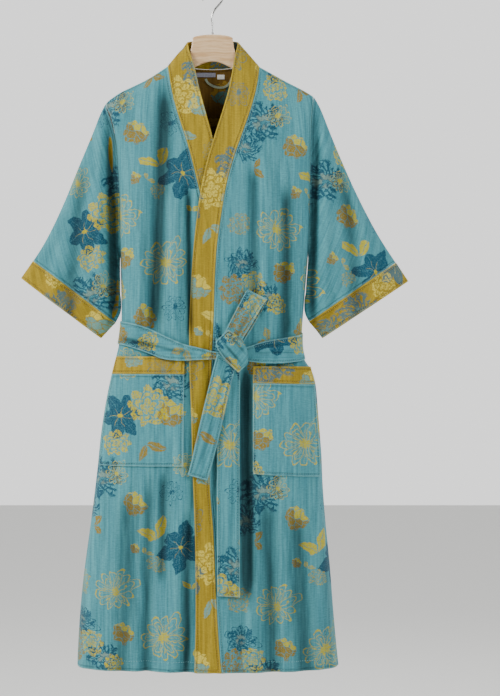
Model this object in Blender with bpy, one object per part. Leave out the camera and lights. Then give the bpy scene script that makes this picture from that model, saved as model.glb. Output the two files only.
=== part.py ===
"""Kimono robe with its tied belt, hanging on a wooden hanger.

The tables are in millimetres, seen from the front: x to the right, and drop measured down
from the inner top of the hanger's hook, which is the origin. The front faces -Y.
Every piece of cloth is a wall between two matching grids of points, and each piece that
lies on another is made from the points of the piece below, moved out.
"""
import math

import bpy
import numpy as np
from mathutils import Vector
from mathutils.bvhtree import BVHTree

# ---- driving dimensions (mm) ------------------------------------------------------------
CLOTH = 1.8             # wall of the two-layer gauze
BAND = 3.0              # wall of the folded neck band
CUFF = 2.6              # wall of the turned cuff
BELT = 2.4              # wall of the belt
GAP = 0.35              # clearance between pieces that meet at a seam
PROUD = 0.6             # bands stand this far above the panel they edge
OVERLAP_STEP = 5.6      # the upper front lies this far in front of the lower one
HEM_DROP = 1244.0
BAND_COLUMNS = 4
ARMHOLE_HALF_GAP = 8.0
BODY_ROUNDNESS = 2.6    # exponent of the body's rounded section
HOOK_WIRE = 2.2         # radius of the hook's wire
HOOK_INNER = 19.0       # inner radius of the hook
HANGER_HALF_THICK = 5.5

# Rows of the left and right side of the body: drop at the armhole or side seam.
# The two lists have the same length, because the back is one piece.
LEFT_ROWS = [222, 232, 246, 270, 305, 345, 390, 435, 470, 488, 502, 540, 580, 617, 645,
             668, 683, 714, 746, 780, 815, 848, 879, 925, 975, 1030, 1090, 1150, 1205, HEM_DROP]
RIGHT_ROWS = [209, 222, 238, 262, 300, 345, 390, 430, 465, 485, 500, 540, 580, 612, 648,
              690, 702, 733, 765, 798, 832, 866, 900, 940, 990, 1040, 1095, 1150, 1205, HEM_DROP]
ARMPIT_ROW = 10
LEFT_POCKET_ROWS = (16, 17, 22)     # top of the pocket band, its foot, the pocket's foot
RIGHT_POCKET_ROWS = (16, 17, 22)

# Outline of the body, x then drop: along the shoulder, then down the armhole and side.
LEFT_SHOULDER = [(-82, 153.5), (-119.5, 178.3), (-167.8, 200.7), (-190, 216.3), (-195, 222)]
LEFT_SIDE = [(-195, 222), (-193, 232), (-187, 246), (-175, 286), (-171, 345), (-168, 401),
             (-168, 509), (-167, 560), (-165.5, 605), (-166, 620), (-169, 655), (-173, 671),
             (-178, 690), (-186, 720), (-196, 770), (-205, 830), (-209, 878), (-222, 986),
             (-234, 1067), (-240, 1121), (-245, 1193), (-247, 1250)]
RIGHT_SHOULDER = [(85, 154.5), (133.4, 181.4), (166.3, 198), (184, 209)]
RIGHT_SIDE = [(184, 209), (182, 225), (179, 252), (178, 282), (178, 322), (176, 424),
              (173.7, 500), (169.2, 554), (164.7, 608), (161.5, 640), (162, 671), (164, 690),
              (180, 702), (188, 722), (191, 770), (196, 830), (200, 880), (199.5, 905), (205.5, 986),
              (214.7, 1067), (219, 1139), (224, 1193), (230, 1250)]
NECK_BACK = [(-82, 153.5), (-60, 152), (-30, 156), (0, 158), (30, 156), (60, 152), (85, 154.5)]

# Half depth of the body at its centre line: depth, drop.
FRONT_DEPTH = [(14, 154), (17, 200), (22, 232), (36, 300), (48, 400), (54, 500), (52, 600),
               (50, 671), (58, 720), (66, 800), (72, 900), (76, 1000), (80, 1100), (84, 1250)]
BACK_DEPTH = [(17, 154), (19, 232), (27, 300), (34, 400), (38, 500), (38, 600), (36, 671),
              (46, 800), (56, 1000), (64, 1250)]

# Seam between the neck band and each front: x, drop.
LEFT_BAND_SEAM = [(-82, 153.5), (-79.8, 166), (-77.6, 181.6), (-73.6, 205.3), (-61.7, 248.5),
                  (-50.8, 280), (-39.8, 310.5), (-31.5, 341), (-27.4, 369.7), (-10, 430),
                  (-3, 480), (0, 540), (0, HEM_DROP)]
RIGHT_BAND_SEAM = [(85, 154.5), (84.4, 163), (82.3, 184), (75.4, 214.3), (62.6, 257.4),
                   (47.5, 293.9), (36, 331.2), (26.3, 365.5), (20.9, 393), (16.7, 427.6),
                   (9.5, 473.4), (5.6, 521.6), (4.3, 561.7), (3.2, 609.8), (0, 671),
                   (-5.4, 917), (-0.9, 946), (2.7, 984), (5, 1036), (6.5, 1073), (8.5, 1125),
                   (11, 1165), (13, 1198), (17.8, HEM_DROP)]
# Free edge of the band across from a seam drop: seam drop, x of the edge, drop of the edge.
LEFT_BAND_EDGE = [(153.5, -46.5, 110), (166, -42, 130), (181.6, -33, 150), (205.3, -26.5, 188),
                  (248.5, -13.5, 235), (280, -4.6, 264.7), (310.5, 3.9, 297.5), (341, 13, 332),
                  (369.7, 18, 358), (430, 35, 422), (480, 43, 476), (540, 46, 540),
                  (HEM_DROP, 46, HEM_DROP)]
RIGHT_BAND_EDGE = [(154.5, 46.5, 110), (163, 42, 129), (184, 36, 158.4), (214.3, 31.9, 190.4),
                   (257.4, 19.8, 232), (293.9, 6.5, 278), (331.2, -7.6, 317.5),
                   (365.5, -16, 354.5), (393, -20.7, 385), (427.6, -26.6, 421),
                   (473.4, -31.7, 469), (521.6, -36, 518), (561.7, -38.6, 560),
                   (609.8, -41, 609), (671, -41.2, 671), (730, -39.6, 730), (773.6, -37, 773.6),
                   (902, -33.8, 902), (961.7, -30.8, 961.7), (1021, -29.3, 1021),
                   (1151, -28.3, 1151), (1205, -29.5, 1205), (HEM_DROP, -31, HEM_DROP)]
# Free edge of the band behind the neck: seam x, then x, y and drop of the edge.
BACK_BAND_EDGE = [(-82, -46.5, 0, 110), (-73, -42, 9, 107), (-55, -33, 14, 105),
                  (-28, -17, 16, 104), (0, 0, 16.5, 104), (28, 17, 16, 104), (55, 33, 14, 105),
                  (76, 42, 9, 107), (85, 46.5, 0, 110)]
NECK_COLUMNS = [-79, -73, -55, -28, 0, 28, 55, 76, 82]
NECK_FIRST = 8          # columns of the back on each shoulder, before those of the neck

# Main folds of the front: path (x, drop), half width, depth inwards (a ridge is negative),
# and the drops between which it fades in and out.
FRONT_FOLDS = [
    ("recess_below_knot", [(27, 700), (29, 900), (30, 1060)], 46, 20, (672, 745, 900, 1080)),
    ("left_front_valley", [(-97, 455), (-99, 660)], 17, 6, (400, 500, 620, 680)),
    ("left_front_ridge", [(-55, 400), (-57, 640)], 13, -6, (380, 470, 1180, 1300)),
    ("right_front_valley", [(126, 520), (124, 660)], 15, 6, (470, 540, 630, 680)),
    ("band_side_valley", [(34, 400), (24, 580)], 12, 4, (380, 420, 540, 600)),
    ("lower_left_valley", [(-112, 1040), (-114, 1250)], 26, 10, (960, 1080, 1300, 1400)),
    ("lower_right_valley", [(96, 920), (100, 1110)], 24, 8, (900, 970, 1100, 1220)),
    ("lower_right_ridge", [(130, 1000), (150, 1250)], 26, -6, (960, 1080, 1300, 1400)),
]
BACK_FOLDS = [
    ("back_pleat_left_outer", [(-118, 320), (-170, 1250)], 26, 8, (320, 480, 1300, 1400)),
    ("back_pleat_left", [(-55, 300), (-80, 1250)], 26, 9, (300, 460, 1300, 1400)),
    ("back_pleat_middle", [(4, 300), (8, 1250)], 24, 6, (300, 480, 1300, 1400)),
    ("back_pleat_right", [(62, 300), (88, 1250)], 26, 9, (300, 460, 1300, 1400)),
    ("back_pleat_right_outer", [(120, 320), (160, 1250)], 26, 8, (320, 480, 1300, 1400)),
]

# Column guides: the inner upright edge of each pocket, carried up to the shoulder.
LEFT_GUIDE = [(-112, 175), (-98, 300), (-75, 450), (-53, 620), (-49.5, 685), (-50.4, 879),
              (-56, 1000), (-62, HEM_DROP)]
RIGHT_GUIDE = [(118, 172), (108, 300), (92, 450), (76, 620), (73.3, 700), (73.3, 888),
               (78, 1000), (86, HEM_DROP)]

# Sleeves: upper fold line and underarm line, from the body to the cuff's edge.
LEFT_SLEEVE_TOP = [(-195, 222), (-202, 230), (-207.5, 249), (-219.6, 280), (-233, 311),
                   (-250.6, 352.4), (-267.8, 397.4), (-288.5, 442), (-305.8, 476.6),
                   (-330, 512.6), (-349, 540)]
LEFT_SLEEVE_UNDER = [(-168.3, 502), (-169.3, 530), (-169, 560), (-168.2, 603), (-177.7, 620.6),
                     (-204, 649)]
RIGHT_SLEEVE_TOP = [(184, 209), (191.5, 218), (199, 235.8), (203.4, 249), (224, 300.7),
                    (243, 345.2), (261.9, 386.6), (279, 420.8), (303.3, 465.8),
                    (330.8, 507.2), (356.4, 545.5)]
RIGHT_SLEEVE_UNDER = [(174.2, 500), (173.2, 530), (171, 554), (168, 600), (173, 613),
                      (200.5, 649)]
# Sleeve stations: share of the way along the top, share along the underarm, half depth.
SLEEVE_STATIONS = [(0.0, 0.0, 8), (0.06, 0.05, 11), (0.15, 0.12, 15), (0.26, 0.22, 19),
                   (0.38, 0.33, 23), (0.5, 0.43, 26), (0.62, 0.52, 27), (0.74, 0.61, 26),
                   (0.83, 0.69, 24)]
CUFF_STATIONS = [(0.893, 0.758, 22.5), (0.946, 0.88, 21), (1.0, 1.0, 19.5)]
SLEEVE_STEP = 0.4

# The belt round the waist, front view: x, drop of its upper edge, drop of its lower edge.
BELT_FRONT = [(-145, 622, 666), (-126, 627, 672), (-108, 634, 679), (-90, 643, 687),
              (-72, 651, 689), (-52, 660, 690), (-35, 664, 689), (-16, 668, 688),
              (4, 674, 687), (22, 675, 689), (44, 670, 690), (67, 664, 691), (88, 656, 694),
              (110, 652, 695), (135, 648, 694)]
BELT_BACK = [(135, 633, 677), (60, 630, 671), (0, 629, 670), (-60, 627, 669), (-135, 622, 664)]
BELT_BACK_STATIONS = 15
# Round each side: angle from the side's own direction, drop of each edge.
BELT_SIDE_ANGLES = [62, 40, 20, 0, -20, -40, -62]
BELT_RIGHT_SIDE = [(646, 692), (644, 690), (641, 686), (640, 683), (638, 681), (637, 680),
                   (635, 678)]
BELT_LEFT_SIDE = [(620, 662), (619, 661), (618, 660), (618, 659), (618, 660), (619, 661),
                  (621, 664)]
SIDE_ANCHOR = 34        # the side's rays start this far inside the body's side line
# Belt ends and loop: left edge x and drop, right edge x and drop, lift off what is below;
# for the knot, how far it swells.
LONG_TAIL = [(14, 672, 50, 664, 0.4), (11, 700, 51, 694, 0.4), (9.5, 740, 50, 736, 0.4),
             (9, 800, 49.5, 796, 0.4), (8.5, 860, 49, 858, 0.4), (8.5, 920, 49.5, 919, 0.4),
             (9, 980, 49.5, 980, 0.4), (9, 1040, 50, 1040, 0.4), (9.5, 1075, 50, 1075, 0.4),
             (10, 1107, 50.5, 1110, 0.4)]
SHORT_TAIL = [(10, 676, 44, 700, 0.4), (3, 700, 38, 716, 0.4), (-4, 728, 32, 742, 0.4),
              (-13, 765, 24, 779, 0.4), (-22, 804, 15, 817, 0.4), (-31, 844, 5, 857, 0.4),
              (-38, 878, -3, 889, 0.4), (-43, 893, -8, 903, 0.4)]
LOOP_BACK = [(24, 664, 44, 676, 0.5), (30, 640, 58, 655, 0.5), (42, 610, 76, 625, 0.5),
             (56, 580, 92, 596, 0.5)]
LOOP_FRONT = [(64, 563, 99, 581, 0.8), (60, 566, 96, 583, 4.2), (51, 584, 86, 600, 5.5),
              (36, 612, 70, 628, 5.0), (24, 636, 54, 652, 3.4), (17, 655, 44, 672, 2.4)]
KNOT = [(7, 655, 29, 634, 3), (8, 667, 38, 640, 9), (16, 680, 52, 648, 12.5),
        (26, 692, 62, 664, 12.5), (38, 703, 66, 680, 9), (47, 711, 64, 696, 3)]

# Tape loop inside the neck: x, y, drop.
HANGING_LOOP = [(-13, 14.9, 174), (-11, 14.6, 180), (-4, 14.0, 186), (8, 13.4, 190.5),
                (18, 13.4, 191), (27, 14.0, 187), (33, 14.5, 179), (35, 14.6, 171)]
TAPE = 1.1
TAPE_WIDTH = 4.4

# Hanger plate: x, drop of its top, drop of its underside.
HANGER = [(-190, 232, 248), (-184, 223, 244), (-167, 210, 233), (-130, 194, 211),
          (-100, 178.5, 196), (-84, 168, 187), (-62, 150, 172.5), (-42, 132, 161),
          (-38.5, 118, 159.5), (-36.5, 101, 158), (-30, 97.5, 154.5), (-15, 95.5, 147),
          (0, 95, 144), (15, 95.5, 147), (30, 97.5, 154.5), (36.5, 101, 158),
          (38.5, 118, 159.5), (42, 132, 161), (62, 148, 171.5), (84, 166.5, 185.5),
          (100, 177, 194), (130, 192, 209), (160, 207, 227), (172, 214, 236), (179, 222, 242)]
HOOK_PATH = [(0, 94.65), (-0.5, 78), (-1.5, 66), (0, 56), (6, 47), (14, 38), (19.5, 28),
             (21.2, 19), (19, 8.5), (12.5, 1.5), (0, -2.2), (-12, 1.5), (-18.8, 9),
             (-21.2, 19), (-20, 27), (-17, 33)]

COLOURS = {                 # base colour (linear), roughness, metallic
    "teal_gauze": ((0.10, 0.34, 0.37), 0.85, 0.0),
    "mustard_gauze": ((0.43, 0.28, 0.05), 0.85, 0.0),
    "pale_wood": ((0.72, 0.48, 0.26), 0.45, 0.0),
    "steel": ((0.62, 0.62, 0.63), 0.28, 1.0),
    "white_label": ((0.80, 0.80, 0.78), 0.8, 0.0),
    "tape": ((0.42, 0.47, 0.46), 0.8, 0.0),
}


def clear_scene():
    """Remove every object that the new file starts with."""
    for obj in list(bpy.data.objects):
        bpy.data.objects.remove(obj, do_unlink=True)


def material(name):
    """The named material, made once."""
    found = bpy.data.materials.get(name)
    if found:
        return found
    colour, rough, metal = COLOURS[name]
    made = bpy.data.materials.new(name)
    made.use_nodes = True
    shader = made.node_tree.nodes["Principled BSDF"]
    shader.inputs["Base Color"].default_value = (*colour, 1.0)
    shader.inputs["Roughness"].default_value = rough
    shader.inputs["Metallic"].default_value = metal
    return made


def smooth(low, high, value):
    """0 below low, 1 above high, with a soft step between."""
    t = np.clip((np.asarray(value, float) - low) / (high - low), 0.0, 1.0)
    return t * t * (3 - 2 * t)


def x_at(table, drop):
    """x of a table of (x, drop) at a drop."""
    return np.interp(drop, [row[1] for row in table], [row[0] for row in table])


def along(path, share):
    """Points at the given shares of a path's length."""
    pts = np.asarray(path, float)
    steps = np.concatenate([[0], np.cumsum(np.linalg.norm(np.diff(pts, axis=0), axis=1))])
    share = np.asarray(share, float) * steps[-1]
    return np.stack([np.interp(share, steps, pts[:, k]) for k in range(pts.shape[1])], axis=-1)


def outline(side):
    """The body's outline on one side, from the neck to the hem."""
    if side < 0:
        return LEFT_SHOULDER + LEFT_SIDE[1:]
    return RIGHT_SHOULDER + RIGHT_SIDE[1:]


def armhole_gap(side, drop):
    """Half the opening between front and back at the armhole."""
    top, pit = (222, 502) if side < 0 else (209, 500)
    up = np.clip((np.asarray(drop, float) - top) / 24.0, 0, 1) ** 0.7
    down = np.clip((pit - np.asarray(drop, float)) / 30.0, 0, 1) ** 0.6
    return ARMHOLE_HALF_GAP * np.minimum(up, down)


def fold_sum(folds, x, drop, share):
    """Depth inwards of all folds at a point; none at the side or on the shoulder."""
    total = np.zeros(np.broadcast(x, drop).shape)
    for _, path, half, depth, (a, b, c, d) in folds:
        centre = x_at(path, drop)
        across = np.exp(-((x - centre) / half) ** 2 * 1.6)
        total = total + depth * across * smooth(a, b, drop) * (1 - smooth(c, d, drop))
    return total * (1 - smooth(0.80, 0.97, share))


def body_depth(x, drop, front=True, upper=False):
    """Distance of the cloth's outer face from the plane y = 0."""
    x, drop = np.broadcast_arrays(np.asarray(x, float), np.asarray(drop, float))
    half = np.where(x < 0, np.abs(x_at(outline(-1), drop)), np.abs(x_at(outline(1), drop)))
    edge = 0.2 + np.where(x < 0, armhole_gap(-1, drop), armhole_gap(1, drop))
    middle = x_at(FRONT_DEPTH if front else BACK_DEPTH, drop)
    share = np.clip(np.abs(x) / half, 0, 1)
    n = BODY_ROUNDNESS
    depth = edge + (middle - edge) * (1 - share ** n) ** (1 / n)
    depth = depth - fold_sum(FRONT_FOLDS if front else BACK_FOLDS, x, drop, share)
    if upper:
        depth = depth + OVERLAP_STEP * (1 - smooth(55, 115, x)) * smooth(200, 275, drop)
    return depth


def normals(grid, towards, wrap=False):
    """Unit normals of a grid of points, on the side that `towards` points to."""
    if wrap:
        du = np.roll(grid, -1, axis=1) - np.roll(grid, 1, axis=1)
    else:
        du = np.gradient(grid, axis=1)
    dv = np.gradient(grid, axis=0)
    n = np.cross(du, dv)
    n /= np.maximum(np.linalg.norm(n, axis=2, keepdims=True), 1e-9)
    return n * np.sign(np.sum(n * towards))


def wall(name, outer, inner, mat, wrap=False):
    """One closed body between two grids of points (mm), joined along their edges."""
    rows, cols = outer.shape[:2]
    verts = np.concatenate([outer.reshape(-1, 3), inner.reshape(-1, 3)]) * 0.001
    count = rows * cols
    faces = []

    def vid(layer, r, c):
        return layer * count + r * cols + (c % cols)

    span = cols if wrap else cols - 1
    for r in range(rows - 1):
        for c in range(span):
            quad = [(r, c), (r, c + 1), (r + 1, c + 1), (r + 1, c)]
            faces.append([vid(0, *p) for p in quad])
            faces.append([vid(1, *p) for p in reversed(quad)])
    for c in range(span):
        faces.append([vid(0, 0, c + 1), vid(0, 0, c), vid(1, 0, c), vid(1, 0, c + 1)])
        last = rows - 1
        faces.append([vid(0, last, c), vid(0, last, c + 1), vid(1, last, c + 1), vid(1, last, c)])
    if not wrap:
        for r in range(rows - 1):
            faces.append([vid(0, r, 0), vid(0, r + 1, 0), vid(1, r + 1, 0), vid(1, r, 0)])
            end = cols - 1
            faces.append([vid(0, r + 1, end), vid(0, r, end), vid(1, r, end), vid(1, r + 1, end)])
    triangles = []
    for f in faces:
        triangles += [[f[0], f[1], f[2]], [f[0], f[2], f[3]]]
    a, b, c = (verts[[t[k] for t in triangles]] for k in range(3))
    if np.sum(np.cross(a, b) * c) < 0:
        triangles = [t[::-1] for t in triangles]
    mesh = bpy.data.meshes.new(name)
    mesh.from_pydata([tuple(v) for v in verts], [], triangles)
    mesh.materials.append(material(mat))
    mesh.shade_smooth()
    mesh.set_sharp_from_angle(angle=math.radians(50))
    mesh.update()
    obj = bpy.data.objects.new(name, mesh)
    bpy.context.scene.collection.objects.link(obj)
    return obj


def panel_grid(side, rows, seam, guide, inner_cols, outer_cols, tilt, upper):
    """Outer points of one front: rows from the shoulder to the hem, columns from the band
    seam to the side, with one column on the pocket's inner edge."""
    edge_line, shoulder = outline(side), LEFT_SHOULDER if side < 0 else RIGHT_SHOULDER
    top, pit = rows[0], rows[ARMPIT_ROW]
    seam_top = seam[0][1]
    grid = []
    for k, drop in enumerate(rows):
        if k <= ARMPIT_ROW:
            seam_drop = seam_top + (drop - top) * (pit - seam_top) / (pit - top)
        else:
            seam_drop = drop - np.interp(drop, [600, 700, 900, 1050], [0, tilt * 0.3, tilt, 0])
        xs, xe = x_at(seam, seam_drop), x_at(edge_line, drop)
        guide_drop = seam_drop + 0.35 * (drop - seam_drop)
        xg = x_at(guide, guide_drop)
        x = np.concatenate([np.linspace(xs, xg, inner_cols + 1),
                            xg + (xe - xg) * np.sin(np.linspace(0, 1, outer_cols + 1)[1:]
                                                    * math.pi / 2 * 0.86)
                            / math.sin(math.pi / 2 * 0.86)])
        share = (x - xs) / (xe - xs)
        d = seam_drop + (drop - seam_drop) * share
        ridge = np.interp(np.abs(x), [abs(p[0]) for p in shoulder], [p[1] for p in shoulder])
        fade = (1 - smooth(top, top + 90, drop)) * (ridge - (seam_top + (top - seam_top) * share))
        d = d + fade
        y = -body_depth(x, d, True, upper)
        if k == 0:
            y = np.full_like(y, -0.2)
        y[-1] = -(0.2 + armhole_gap(side, drop))
        grid.append(np.stack([x, y, -d], axis=1))
    return np.array(grid)


def panel_normals(grid):
    """Normals of a front panel, turned into the seam's plane along its edges."""
    n = normals(grid, np.array([0, -1.0, 0]))
    n[:, -1, 1] = 0
    n[-1, :, 2] = 0
    n[0, :, 1] = 0
    n[0, :, :] = np.where(np.linalg.norm(n[0], axis=1, keepdims=True) < 0.3, (0, 0, 1), n[0])
    return n / np.linalg.norm(n, axis=2, keepdims=True)


def back_grid():
    """Outer points of the back, one piece from side to side."""
    left_x = np.linspace(LEFT_SHOULDER[-1][0], LEFT_SHOULDER[0][0], NECK_FIRST)
    right_x = np.linspace(RIGHT_SHOULDER[0][0], RIGHT_SHOULDER[-1][0], NECK_FIRST)
    top_x = np.concatenate([left_x, NECK_COLUMNS, right_x])
    line = LEFT_SHOULDER[::-1] + NECK_BACK[1:-1] + RIGHT_SHOULDER
    top_drop = np.interp(top_x, [p[0] for p in line], [p[1] for p in line])
    share = (top_x - top_x[0]) / (top_x[-1] - top_x[0])
    bend = 0.5 - 0.5 * np.cos(math.pi * share)
    grid = []
    for k, (dl, dr) in enumerate(zip(LEFT_ROWS, RIGHT_ROWS)):
        t = smooth(0, ARMPIT_ROW, k)
        s = share * (1 - t) + (0.45 * share + 0.55 * bend) * t
        xl, xr = x_at(outline(-1), dl), x_at(outline(1), dr)
        x = xl + (xr - xl) * s
        side = dl + (dr - dl) * s
        go = min(1.0, (dl - LEFT_ROWS[0]) / (LEFT_ROWS[ARMPIT_ROW] - LEFT_ROWS[0]))
        d = side + (top_drop - (LEFT_ROWS[0] + (RIGHT_ROWS[0] - LEFT_ROWS[0]) * share)) * (1 - go)
        y = body_depth(x, d, False)
        if k == 0:
            y = np.where((top_x <= LEFT_SHOULDER[0][0] + 0.01) | (top_x >= RIGHT_SHOULDER[0][0] - 0.01),
                         0.2, y)
        y[0], y[-1] = 0.2 + armhole_gap(-1, dl), 0.2 + armhole_gap(1, dr)
        grid.append(np.stack([x, y, -d], axis=1))
    return np.array(grid)


def back_normals(grid):
    """Normals of the back, turned into the seam's plane at the sides, shoulders and hem."""
    n = normals(grid, np.array([0, 1.0, 0]))
    n[:, 0, 1] = 0
    n[:, -1, 1] = 0
    n[-1, :, 2] = 0
    on_ridge = np.abs(grid[0, :, 1]) < 1
    n[0, on_ridge, 1] = 0
    return n / np.linalg.norm(n, axis=2, keepdims=True)


def sleeve_ring(side, rows, top, under, station, push):
    """One section of a sleeve: down its front and up its back, `push` mm outside."""
    share_top, share_under, half = station
    drops = np.array(rows[:ARMPIT_ROW + 1], float)
    arm = np.stack([x_at(outline(side), drops), drops], axis=1)
    arm[:, 0] += side * SLEEVE_STEP
    s = np.concatenate([[0], np.cumsum(np.linalg.norm(np.diff(arm, axis=0), axis=1))])
    s /= s[-1]
    t, u = along(top, share_top), along(under, share_under)
    t0, u0 = np.array(top[0], float), np.array(under[0], float)
    t1, u1 = np.array(top[-1], float), np.array(under[-1], float)
    w = share_top
    chord = t1 + (u1 - t1) * s[:, None]
    straight = (1 - s[:, None]) * t + s[:, None] * u
    corners = ((1 - w) * (1 - s[:, None]) * t0 + w * (1 - s[:, None]) * t1
               + (1 - w) * s[:, None] * u0 + w * s[:, None] * u1)
    flat = (1 - w) * arm + w * chord + straight - corners
    blend = float(smooth(0, 0.15, w))
    profile = np.sin(np.pi * s) ** 0.6
    y = armhole_gap(side, drops) * (1 - blend) + half * profile * blend
    y[0] = y[-1] = 0
    front = np.stack([flat[:, 0], -y, -flat[:, 1]], axis=1)
    back = np.stack([flat[:, 0], y, -flat[:, 1]], axis=1)
    return np.concatenate([front, back[-2:0:-1]])


def sleeve_grid(side, rows, top, under, stations):
    return np.array([sleeve_ring(side, rows, top, under, s, 0) for s in stations])


def outwards(grid):
    """Outward direction of each point of a tube, from its section's middle."""
    middle = grid.mean(axis=1, keepdims=True)
    away = grid - middle
    return away / np.maximum(np.linalg.norm(away, axis=2, keepdims=True), 1e-9)


def tube_normals(grid):
    return normals(grid, outwards(grid), wrap=True)


class Surface:
    """The outermost front or back of the pieces made so far."""

    def __init__(self, objects):
        verts, faces = [], []
        for obj in objects:
            base = len(verts)
            verts += [v.co.copy() for v in obj.data.vertices]
            faces += [[base + i for i in p.vertices] for p in obj.data.polygons]
        self.tree = BVHTree.FromPolygons(verts, faces)

    def depth(self, x, drop, side=-1):
        """y (mm) of the outermost face at (x, drop) seen from the front (-1) or back (1)."""
        hit = self.tree.ray_cast(Vector((x * 0.001, side * 1.0, -drop * 0.001)),
                                 Vector((0, -side, 0)))[0]
        return None if hit is None else hit.y * 1000

    def cover(self, x, drop, reach, side=-1, rise=None):
        """The outermost depth within a reach, so that a stiff piece clears what it spans."""
        rise = reach if rise is None else rise
        found = []
        for i in np.linspace(-1, 1, 9):
            for j in np.linspace(-1, 1, 9):
                y = self.depth(x + i * reach, drop + j * rise, side)
                if y is not None:
                    found.append(y)
        return (min(found) if side < 0 else max(found)) if found else 0.0


def strap(name, stations, below, thick, mat, reach=9, rise=9, columns=3, bulge=None):
    """A strap that lies on the front: stations give its two edges and its lift."""
    under = []
    for xl, dl, xr, dr, lift in stations:
        row = []
        for t in np.linspace(0, 1, columns):
            x, d = xl + (xr - xl) * t, dl + (dr - dl) * t
            row.append((x, below.cover(x, d, reach, rise=rise) - lift, -d))
        row = np.array(row)
        under.append(row)
    under = np.array(under)
    under[:, 1:-1, 1] = np.minimum(under[:, 1:-1, 1], (under[:, :1, 1] + under[:, -1:, 1]) / 2)
    outer = under.copy()
    if bulge is None:
        n = normals(under, np.array([0, -1.0, 0]))
        outer = under + n * thick
    else:
        across = np.sqrt(np.clip(1 - np.linspace(-0.96, 0.96, columns) ** 2, 0, 1))
        outer[:, :, 1] -= 1.5 + np.array(bulge)[:, None] * across[None, :]
    return wall(name, outer, under, mat)


def folded_loop(name, back, front, below, mat):
    """The belt's loop: up behind, over the fold and down in front, as one strap."""
    rows = []
    for k, (xl, dl, xr, dr, lift) in enumerate(back + front):
        mid = below.cover((xl + xr) / 2, (dl + dr) / 2, 20, rise=26) - lift - BELT / 2
        if k >= len(back):
            mid -= BELT
        rows.append([(xl + (xr - xl) * t, mid, -(dl + (dr - dl) * t)) for t in (0, 0.5, 1)])
    line = np.array(rows)
    n = np.zeros_like(line)
    last = len(back)
    n[:last] = (0, 1, 0)
    n[last] = (0.42, 0, 0.9)
    n[last + 1:] = (0, -1, 0)
    return line, n


def belt_ring(body):
    """Outer and inner points of the belt round the waist, as one closed ring."""
    inner, outward = [], []

    def flat_station(x, top, low, side):
        half = abs(float(x_at(outline(-1 if x < 0 else 1), (top + low) / 2)))
        lean = math.copysign((abs(x) / half) ** 4 * 0.8, x)
        n = np.array([lean, side, 0]) / math.hypot(lean, 1)
        inner.append([(x, body.cover(x, d, 11, side, rise=8) + side * 0.5, -d)
                      for d in np.linspace(top, low, 4)])
        outward.append(n)

    def side_station(side, angle, top, low):
        a = math.radians(angle)
        n = np.array([side * math.cos(a), -math.sin(a), 0])
        half = abs(float(x_at(outline(side), (top + low) / 2)))
        anchor = np.array([side * (half - SIDE_ANCHOR), 0, 0])
        row = []
        for d in np.linspace(top, low, 4):
            far = 0.0
            for turn in (-12, -6, 0, 6, 12):
                b = math.radians(angle + turn)
                ray = Vector((side * math.cos(b), -math.sin(b), 0))
                for up in (-8, -4, 0, 4, 8):
                    base = Vector((anchor[0] * 0.001, 0, -(d + up) * 0.001))
                    hit = body.tree.ray_cast(base + ray * 0.09, -ray)[0]
                    if hit is not None:
                        far = max(far, (hit - base).length * 1000)
            row.append(anchor + n * (far + 0.5) + np.array([0, 0, -d]))
        inner.append(row)
        outward.append(n)

    for x, top, low in BELT_FRONT:
        flat_station(x, top, low, -1)
    for angle, (top, low) in zip(BELT_SIDE_ANGLES, BELT_RIGHT_SIDE):
        side_station(1, angle, top, low)
    for x in np.linspace(BELT_BACK[0][0], BELT_BACK[-1][0], BELT_BACK_STATIONS):
        top, low = (np.interp(-x, [-row[0] for row in BELT_BACK], [row[k] for row in BELT_BACK])
                    for k in (1, 2))
        flat_station(x, top, low, 1)
    for angle, (top, low) in zip(BELT_SIDE_ANGLES[::-1], BELT_LEFT_SIDE):
        side_station(-1, angle, top, low)
    inner = np.array(inner, float)
    outer = inner + np.array(outward)[:, None, :] * BELT
    return outer.transpose(1, 0, 2), inner.transpose(1, 0, 2)


def hanger_body():
    """The shaped wooden plate, swept from end to end with rounded edges."""
    rings = []
    for x, top, low in HANGER:
        t = HANGER_HALF_THICK
        r = min(3.2, (low - top) / 3)
        if abs(x) > 178:
            t *= 0.75
        section = [(-t + r, top), (-t, top + r), (-t, low - r), (-t + r, low),
                   (t - r, low), (t, low - r), (t, top + r), (t - r, top)]
        rings.append([(x, y, -d) for y, d in section])
    return solid_loft("hanger_body", np.array(rings), "pale_wood")


def solid_loft(name, rings, mat):
    """A closed solid through rings of equal point counts, capped at both ends."""
    count, sides = rings.shape[:2]
    verts = rings.reshape(-1, 3) * 0.001
    faces = []
    for r in range(count - 1):
        for c in range(sides):
            d = (c + 1) % sides
            faces.append([r * sides + c, r * sides + d, (r + 1) * sides + d, (r + 1) * sides + c])
    caps = [list(range(sides)), [(count - 1) * sides + c for c in range(sides)]]
    triangles = []
    for f in faces:
        triangles += [[f[0], f[1], f[2]], [f[0], f[2], f[3]]]
    first = [[caps[0][0], caps[0][k + 1], caps[0][k]] for k in range(1, sides - 1)]
    last = [[caps[1][0], caps[1][k], caps[1][k + 1]] for k in range(1, sides - 1)]
    triangles += first + last
    a, b, c = (verts[[t[k] for t in triangles]] for k in range(3))
    if np.sum(np.cross(a, b) * c) < 0:
        triangles = [t[::-1] for t in triangles]
    mesh = bpy.data.meshes.new(name)
    mesh.from_pydata([tuple(v) for v in verts], [], triangles)
    mesh.materials.append(material(mat))
    mesh.shade_smooth()
    mesh.set_sharp_from_angle(angle=math.radians(50))
    mesh.update()
    obj = bpy.data.objects.new(name, mesh)
    bpy.context.scene.collection.objects.link(obj)
    return obj


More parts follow.
